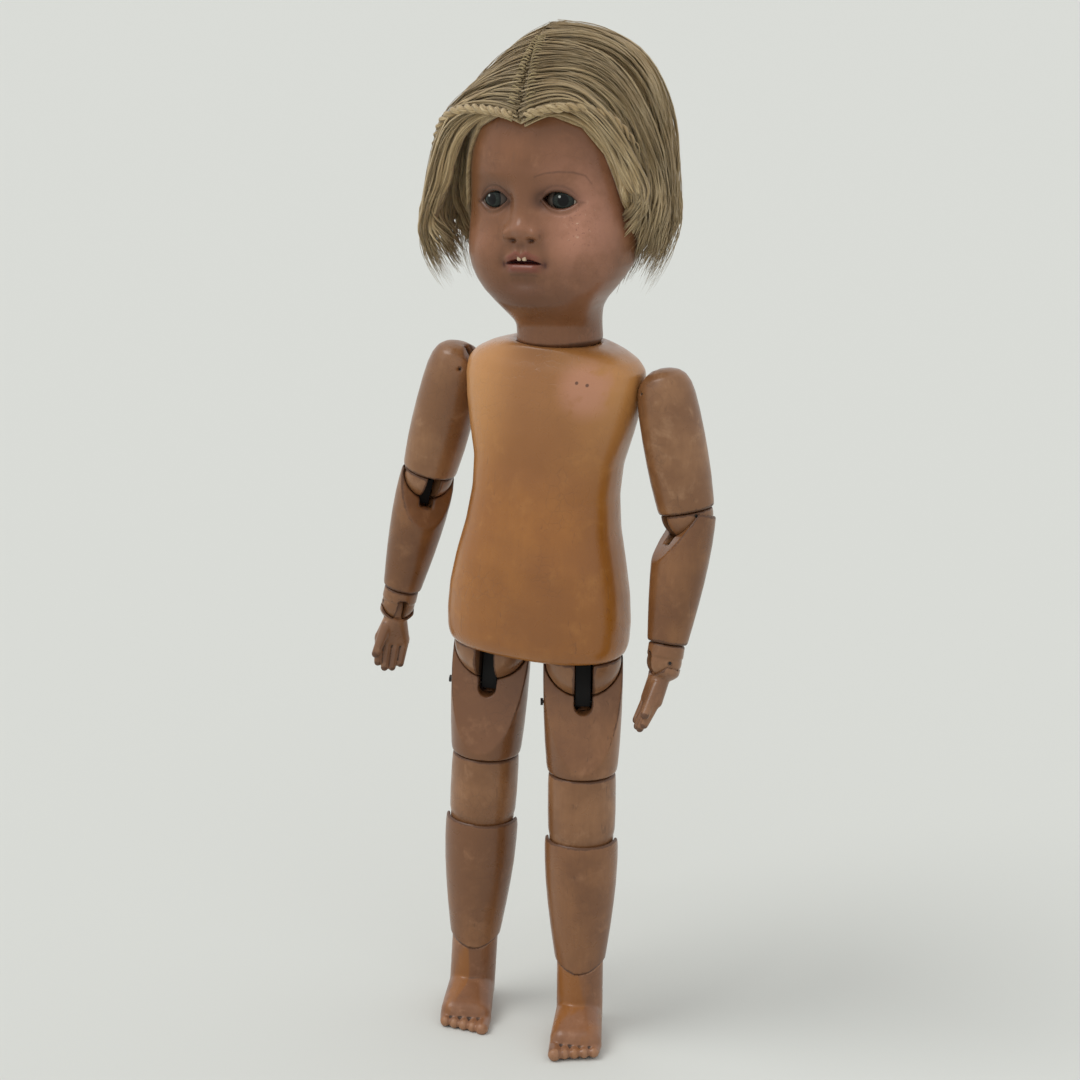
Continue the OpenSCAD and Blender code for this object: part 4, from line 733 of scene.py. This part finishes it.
def lock_paths(sign, count, steps, lift, spread, length, locks, gather, r):
    """Paths of one side's hair. Each starts on the parting, goes round to the hair's widest level on a great
    circle, and hangs from there. It is drawn to its lock's middle, waves with it and turns in at its tip."""
    share = (np.arange(count) + r.uniform(0, 1, count)) / count
    cuts = np.sort(np.concatenate([[0, 1], (np.arange(1, locks) + r.uniform(-0.3, 0.3, locks - 1)) / locks]))
    lock = np.clip(np.searchsorted(cuts, share) - 1, 0, locks - 1)
    centre = 0.5 * (cuts[lock] + cuts[lock + 1])
    own_lift, own_phase, own_pace, own_length = np.stack([
        r.uniform(-1, 1, locks), r.uniform(0, 6.3, locks), r.uniform(0.7, 1.3, locks),
        r.uniform(-1, 1, locks)])[:, lock]
    share_end = share + (centre - share) * gather
    alpha = np.radians(PART_FRONT + share * (PART_BACK - PART_FRONT))
    start = np.stack([sign * r.uniform(0.0, 0.03, count), np.sin(alpha), np.cos(alpha)], 1)
    phi = np.radians(HANG_FROM + share_end * HANG_SPAN + r.normal(0, 3.2, count))
    end = np.stack([sign * np.sin(phi), -np.cos(phi), np.zeros(count)], 1)
    omega = np.arccos(np.clip((start * end).sum(1), -1, 1))[:, None, None]
    over = steps * 3 // 5       # points of a path that lie on the head; the others hang
    t = np.linspace(0, 1, over)[None, :, None]
    way = (np.sin((1 - t) * omega) * start[:, None] + np.sin(t * omega) * end[:, None]) / np.sin(omega)
    way[..., 2] += 0.26 * np.sin(math.pi * t[..., 0]) * eased(share, 0.5, 0.0)[:, None]
    way /= np.linalg.norm(way, axis=-1, keepdims=True)
    lock_lift = spread * 1.1 * own_lift[:, None] * np.sin(math.pi * t[..., 0] * 0.8)
    lifts = (lift + r.uniform(-spread, spread, count))[:, None] + lock_lift
    valley = 3.5 * np.exp(-((share - 0.60) / 0.13) ** 2) - 5.0 * np.exp(-((share - 0.40) / 0.05) ** 2)
    valley = valley * (sign > 0)        # a ridge with a valley before it, on the left only
    lifts = lifts + valley[:, None] * eased(t[..., 0], 0.1, 0.5)
    top = on_hair(way, lifts)
    w = np.linspace(0, 1, steps - over + 1)[1:][None, :]
    middle = np.radians(HANG_FROM + centre * HANG_SPAN)[:, None]
    drawn = phi[:, None] + (middle - phi[:, None]) * 0.8 * w ** 1.2
    radial = 1 + 0.07 * np.sin(math.pi * np.clip(w * 0.9, 0, 1)) - 0.15 * w ** 3
    depth = np.where(-np.cos(drawn) < 0, HAIR_FRONT, HAIR_BACK)
    inward = 5.5 if sign > 0 else 1.0
    last = lifts[:, -1:] + full_side(end)[:, None] + 2.2 * own_lift[:, None] * w - inward * w
    drop = (length + r.normal(0, 0.08 * length, count) + 0.14 * length * own_length)[:, None]
    short = eased(share, 0.20, 0.08)[:, None] * (sign > 0)
    drop = drop * (1 - 0.6 * short) + 7 * eased(share, 0.6, 0.9)[:, None]
    hang = SKULL + np.stack([sign * np.sin(drawn) * (HAIR_WIDE + last) * radial,
                             -np.cos(drawn) * (depth + last) * radial, -w * drop], -1)
    forward = (7.0 if sign < 0 else 1.5) * np.sin(math.pi * w / 2) * eased(share, 0.5, 0.1)[:, None]
    hang[..., 1] -= forward
    hang[..., 0] += sign * 0.35 * forward
    paths = softened(np.concatenate([top, hang], 1), 8)
    s = np.linspace(0, 1, steps)[None, :]
    out = paths - SKULL
    out[..., 2] *= eased(s, 0.75, 0.45)
    out /= np.linalg.norm(out, axis=-1, keepdims=True)
    tangent = np.gradient(paths, axis=1)
    side_way = np.cross(tangent / np.linalg.norm(tangent, axis=-1, keepdims=True), out)
    turn_by = 2 * math.pi * s * own_pace[:, None] * 1.8 + own_phase[:, None]
    small = s * r.uniform(18, 30, count)[:, None] + r.uniform(0, 6.3, count)[:, None]
    sway = (3.6 * np.sin(turn_by) + 0.7 * np.sin(small)) * eased(s, 0.05, 0.8)
    puff = (1.3 * np.cos(turn_by * 0.8) + 0.5 * np.cos(small)) * eased(s, 0.0, 0.6)
    calm = (1 - 0.55 * eased(share, 0.70, 0.95)[:, None] - 0.7 * short * s)[..., None]
    return paths + (side_way * sway[..., None] + out * puff[..., None]) * calm, out, lock


g = new_graph("mohair")
cross, along, tint = g.attribute("cross"), g.attribute("along"), g.attribute("tint")
fine_hair = g.noise(g.vector(g.times(cross, 5.0), g.times(along, 1.6), g.times(tint, 40.0)), 2.6, 5, 0.68)
body = g.noise(g.stretched(g.place(), 1, 1, 0.5), 70, 4, 0.6)
colour = g.mix(g.span(fine_hair, 0.34, 0.58), rgb(98, 78, 50), rgb(196, 168, 120))
colour = g.mix(g.times(g.span(fine_hair, 0.46, 0.66), g.span(body, 0.38, 0.58)), colour, rgb(238, 218, 174))
colour = g.mix(g.span(tint, 0.0, 0.30, 0.5, 0.0), colour, rgb(92, 74, 48))
mohair = material(g, colour, 0.46, fine_hair, 0.8, 0.5, **{"Specular IOR Level": 0.4, "Sheen Weight": 0.2})
HAIR_STEPS = 32
HAIR_LAYERS = (     # name, count, lift, spread, hanging length, locks, gather, half width
    ("under", 120, -5.0, 1.4, 26, 7, 0.3, 1.9), ("middle", 170, -1.8, 2.0, 34, 6, 0.8, 1.3),
    ("over", 230, 0.8, 2.0, 37, 7, 0.95, 0.85), ("wisps", 220, 1.4, 2.6, 40, 7, 0.85, 0.3))
for side, sign in SIDES:
    for layer, (kind, count, lift, spread, length, locks, gather, wide) in enumerate(HAIR_LAYERS):
        r = np.random.default_rng(70 + layer * 7 + (sign > 0))
        paths, out, lock = lock_paths(sign, count, HAIR_STEPS, lift, spread, length, locks, gather, r)
        s = np.linspace(0, 1, HAIR_STEPS)[None, :]
        shape = (0.4 + 0.6 * np.sin(math.pi * np.clip(s * 0.62 + 0.06, 0, 1))) * eased(s, 1.02, 0.72) + 0.05
        width = wide * shape * r.uniform(0.7, 1.35, (count, 1))
        sides = 4 if wide < 1 else 6
        points, faces, marks = tubes(paths, width, width * 0.55, sides, out)
        lock_tint = np.random.default_rng(layer).uniform(0, 1, locks)[lock]
        tint = np.clip(0.5 * r.uniform(0, 1, count) + 0.5 * lock_tint, 0, 1)
        marks["tint"] = np.repeat(tint, HAIR_STEPS * sides)
        piece = new_object(side + "_hair_" + kind, on_head(points), faces, marks)
        finish_piece(piece, mohair, "head", "mohair")

# Cap: the sewn ground under the locks, closed at its edge, with the same hair lying flat on it.
CAP_EDGE = ((0, 22, 40, 54, 66, 78, 100, 180), (104, 103, 98, 85, 62, 54, 52, 54))  # degrees round, height
CAP_TOP, CAP_HIGH = 139, 66.5
CAP_WIDE, CAP_FRONT = 44, 39.5
CAP_INSIDE = (0.95, 0.95, 0.97)         # the inner face's share of the outer
u = np.linspace(0, 2 * math.pi, 180, endpoint=False)
from_front = np.degrees(np.abs((u + math.pi) % (2 * math.pi) - math.pi))
edge = np.interp(from_front, *CAP_EDGE)
v = np.linspace(0, 1, 46)[1:]
cap_z = CAP_TOP - (CAP_TOP - edge[None, :]) * (1 - np.cos(v[:, None] * math.pi / 2)) ** 0.95
shrink = np.sqrt(1 - np.clip((cap_z - SKULL[2]) / CAP_HIGH, 0, 1) ** 2)
deep = np.where(np.cos(u) > 0, CAP_FRONT, CAP_WIDE)[None, :]
cap_out = np.stack([np.sin(u)[None, :] * CAP_WIDE * shrink, -np.cos(u)[None, :] * deep * shrink + SKULL[1],
                    cap_z], -1)
cap_in = (cap_out[::-1] - SKULL) * CAP_INSIDE + SKULL
cap_in[0] = 0.5 * (cap_out[-1] + cap_in[1])
cap = np.concatenate([cap_out, cap_in])
m, n = cap.shape[:2]
cap_points = np.concatenate([cap.reshape(-1, 3), [[0, SKULL[1], 139.3], [0, SKULL[1], 136]]])
cap_along = np.broadcast_to(np.linspace(0, 1, m)[:, None], (m, n)).ravel()
cap_cross = np.broadcast_to((np.degrees(u) * 0.6)[None, :], (m, n)).ravel()
cap_masks = {"along": np.append(cap_along, [0, 1]), "cross": np.append(cap_cross, [0, 0]),
             "tint": np.full(m * n + 2, 0.3)}
cap_piece = new_object("wig_cap", on_head(cap_points), capped(m, n), cap_masks)
finish_piece(cap_piece, mohair, "head", "mohair", "wig")

# Sewing: crossed straw-coloured stitches over the parting, and two twisted hanks along the front edge.
g = new_graph("stitch_thread")
twist = g.noise(g.vector(g.times(g.attribute("cross"), 1.5), g.times(g.attribute("along"), 16.0)), 3.0, 2)
thread_paint = material(g, g.mix(twist, rgb(126, 106, 70), rgb(206, 188, 142)), 0.7, twist, 0.8, 0.3)
bars = []
for k, angle in enumerate(np.radians(np.linspace(-64, -22, 26))):
    for way_x in (1, -1):
        t = np.linspace(-1, 1, 9)
        bend = angle + way_x * 0.012 * t
        line = np.stack([way_x * 0.11 * (1 - k / 30) + 0.04 * t, np.sin(bend), np.cos(bend)], 1)
        line /= np.linalg.norm(line, axis=1, keepdims=True)
        bars.append(on_hair(line, 1.2 + 1.2 * (1 - t ** 2)))
bars = np.array(bars)
bar_out = (bars - SKULL) / np.linalg.norm(bars - SKULL, axis=-1, keepdims=True)
size = np.full(bars.shape[:2], 0.36)
points, faces, marks = tubes(bars, size, size, 8, bar_out)
finish_piece(new_object("parting_stitches", on_head(points), faces, marks), thread_paint, "head", "mohair")
HANK = np.radians([[4, 27], [18, 29], [34, 29], [48, 26], [60, 19], [69, 10]])      # from the front, and up
HANK_TURNS = 7
for side, sign in SIDES:
    t = np.linspace(0, 1, 90)
    round_by, up_by = (np.interp(t, np.linspace(0, 1, len(HANK)), HANK[:, k]) for k in range(2))
    way = np.stack([sign * np.sin(round_by) * np.cos(up_by), -np.cos(round_by) * np.cos(up_by),
                    np.sin(up_by)], 1)
    line = softened(on_hair(way, 1.0)[None].copy(), 60)[0]
    out = (line - SKULL) / np.linalg.norm(line - SKULL, axis=1, keepdims=True)
    along_line = np.gradient(line, axis=0)
    beside = np.cross(along_line / np.linalg.norm(along_line, axis=1, keepdims=True), out)
    strands = []
    for start in (0, math.pi):
        turn_by = (start + t * 2 * math.pi * HANK_TURNS)[:, None]
        strands.append(line + out * (1.2 + 1.0 * np.cos(turn_by)) + beside * 1.0 * np.sin(turn_by))
    size = (1.25 * eased(t, 1.03, 0.6) * eased(t, -0.1, 0.1) + 0.1)[None, :] * np.ones((2, 1))
    points, faces, marks = tubes(np.array(strands), size, size, 10, np.stack([out, out]))
    marks["cross"] = marks["cross"] * 0.8
    marks["along"] = marks["along"] * 3
    marks["tint"] = np.full(len(points), 0.25)
    finish_piece(new_object(side + "_twisted_hank", on_head(points), faces, marks), mohair, "head", "mohair")


# Steel: pins, rods and springs keep their CAD shape in darkened, slightly rusty steel. The straps that show
# in the slots of the hips and elbows are blackened, like the links of the shoulders and the neck.
g = new_graph("old_steel")
rust = g.span(g.noise(g.place(), 420, 5, 0.65), 0.5, 0.66)
old_steel = material(g, g.mix(rust, rgb(52, 50, 48), rgb(74, 48, 34)), g.span(rust, 0.0, 1.0, 0.38, 0.75),
                     g.noise(g.place(), 900, 4), 0.3, 0.1, Metallic=g.span(rust, 0.0, 1.0, 0.85, 0.2))
g = new_graph("black_steel")
soot = g.noise(g.place(), 300, 4)
black_steel = material(g, g.mix(soot, rgb(6, 6, 6), rgb(20, 17, 15)), 0.6, soot, 0.1, 0.2,
                       **{"Specular IOR Level": 0.25})
replaced = {"torso", "head", "eyes", "teeth", "wig"} | {s + "_" + p[0] for s, _ in SIDES for p in LIMB_PIECES}
for name, obj in nodes.items():
    if name not in replaced:
        obj.data.materials.clear()
        obj.data.materials.append(black_steel if name.endswith("_link") else old_steel)


# Studio: one pale sheet, a broad soft key from the image's left front, and an even pale surround.
BACKDROP = rgb(212, 214, 209)
HORIZON = rgb(217.5, 219.7, 214.7)      # the floor as it looks far away
SURROUND = (0.79, 0.79, 0.79, 1)
REACH = 30                              # metres from the doll to the sheet's edges
SUN_SPREAD, SUN_FROM = math.radians(32), Vector((-0.52, -0.50, 1.10))
mesh = bpy.data.meshes.new("floor")
corners = [(-REACH, -REACH, 0), (REACH, -REACH, 0), (REACH, REACH, 0), (-REACH, REACH, 0)]
mesh.from_pydata(corners, [], [(0, 1, 2, 3)])
floor = bpy.data.objects.new("floor", mesh)
bpy.context.collection.objects.link(floor)
g = new_graph("floor_sheet")
floor.data.materials.append(material(g, BACKDROP, 0.9, g.noise(g.place(), 60, 3), 0.02, 0.2,
                                     **{"Specular IOR Level": 0.1}))
world = bpy.context.scene.world or bpy.data.worlds.new("studio")
bpy.context.scene.world = world
world.use_nodes = True
sky = next(n for n in world.node_tree.nodes if n.type == "BACKGROUND")
g = Graph(world.node_tree)
seen = g.node("ShaderNodeLightPath").outputs["Is Camera Ray"]
world.node_tree.links.new(g.mix(seen, SURROUND, HORIZON), sky.inputs["Color"])
sky.inputs["Strength"].default_value = 1.0
sun = bpy.data.objects.new("key", bpy.data.lights.new("key", "SUN"))
bpy.context.collection.objects.link(sun)
sun.data.energy = 1.0
sun.data.angle = SUN_SPREAD
sun.rotation_mode = "QUATERNION"
sun.rotation_quaternion = SUN_FROM.normalized().to_track_quat("Z", "Y")

bpy.context.view_layer.update()
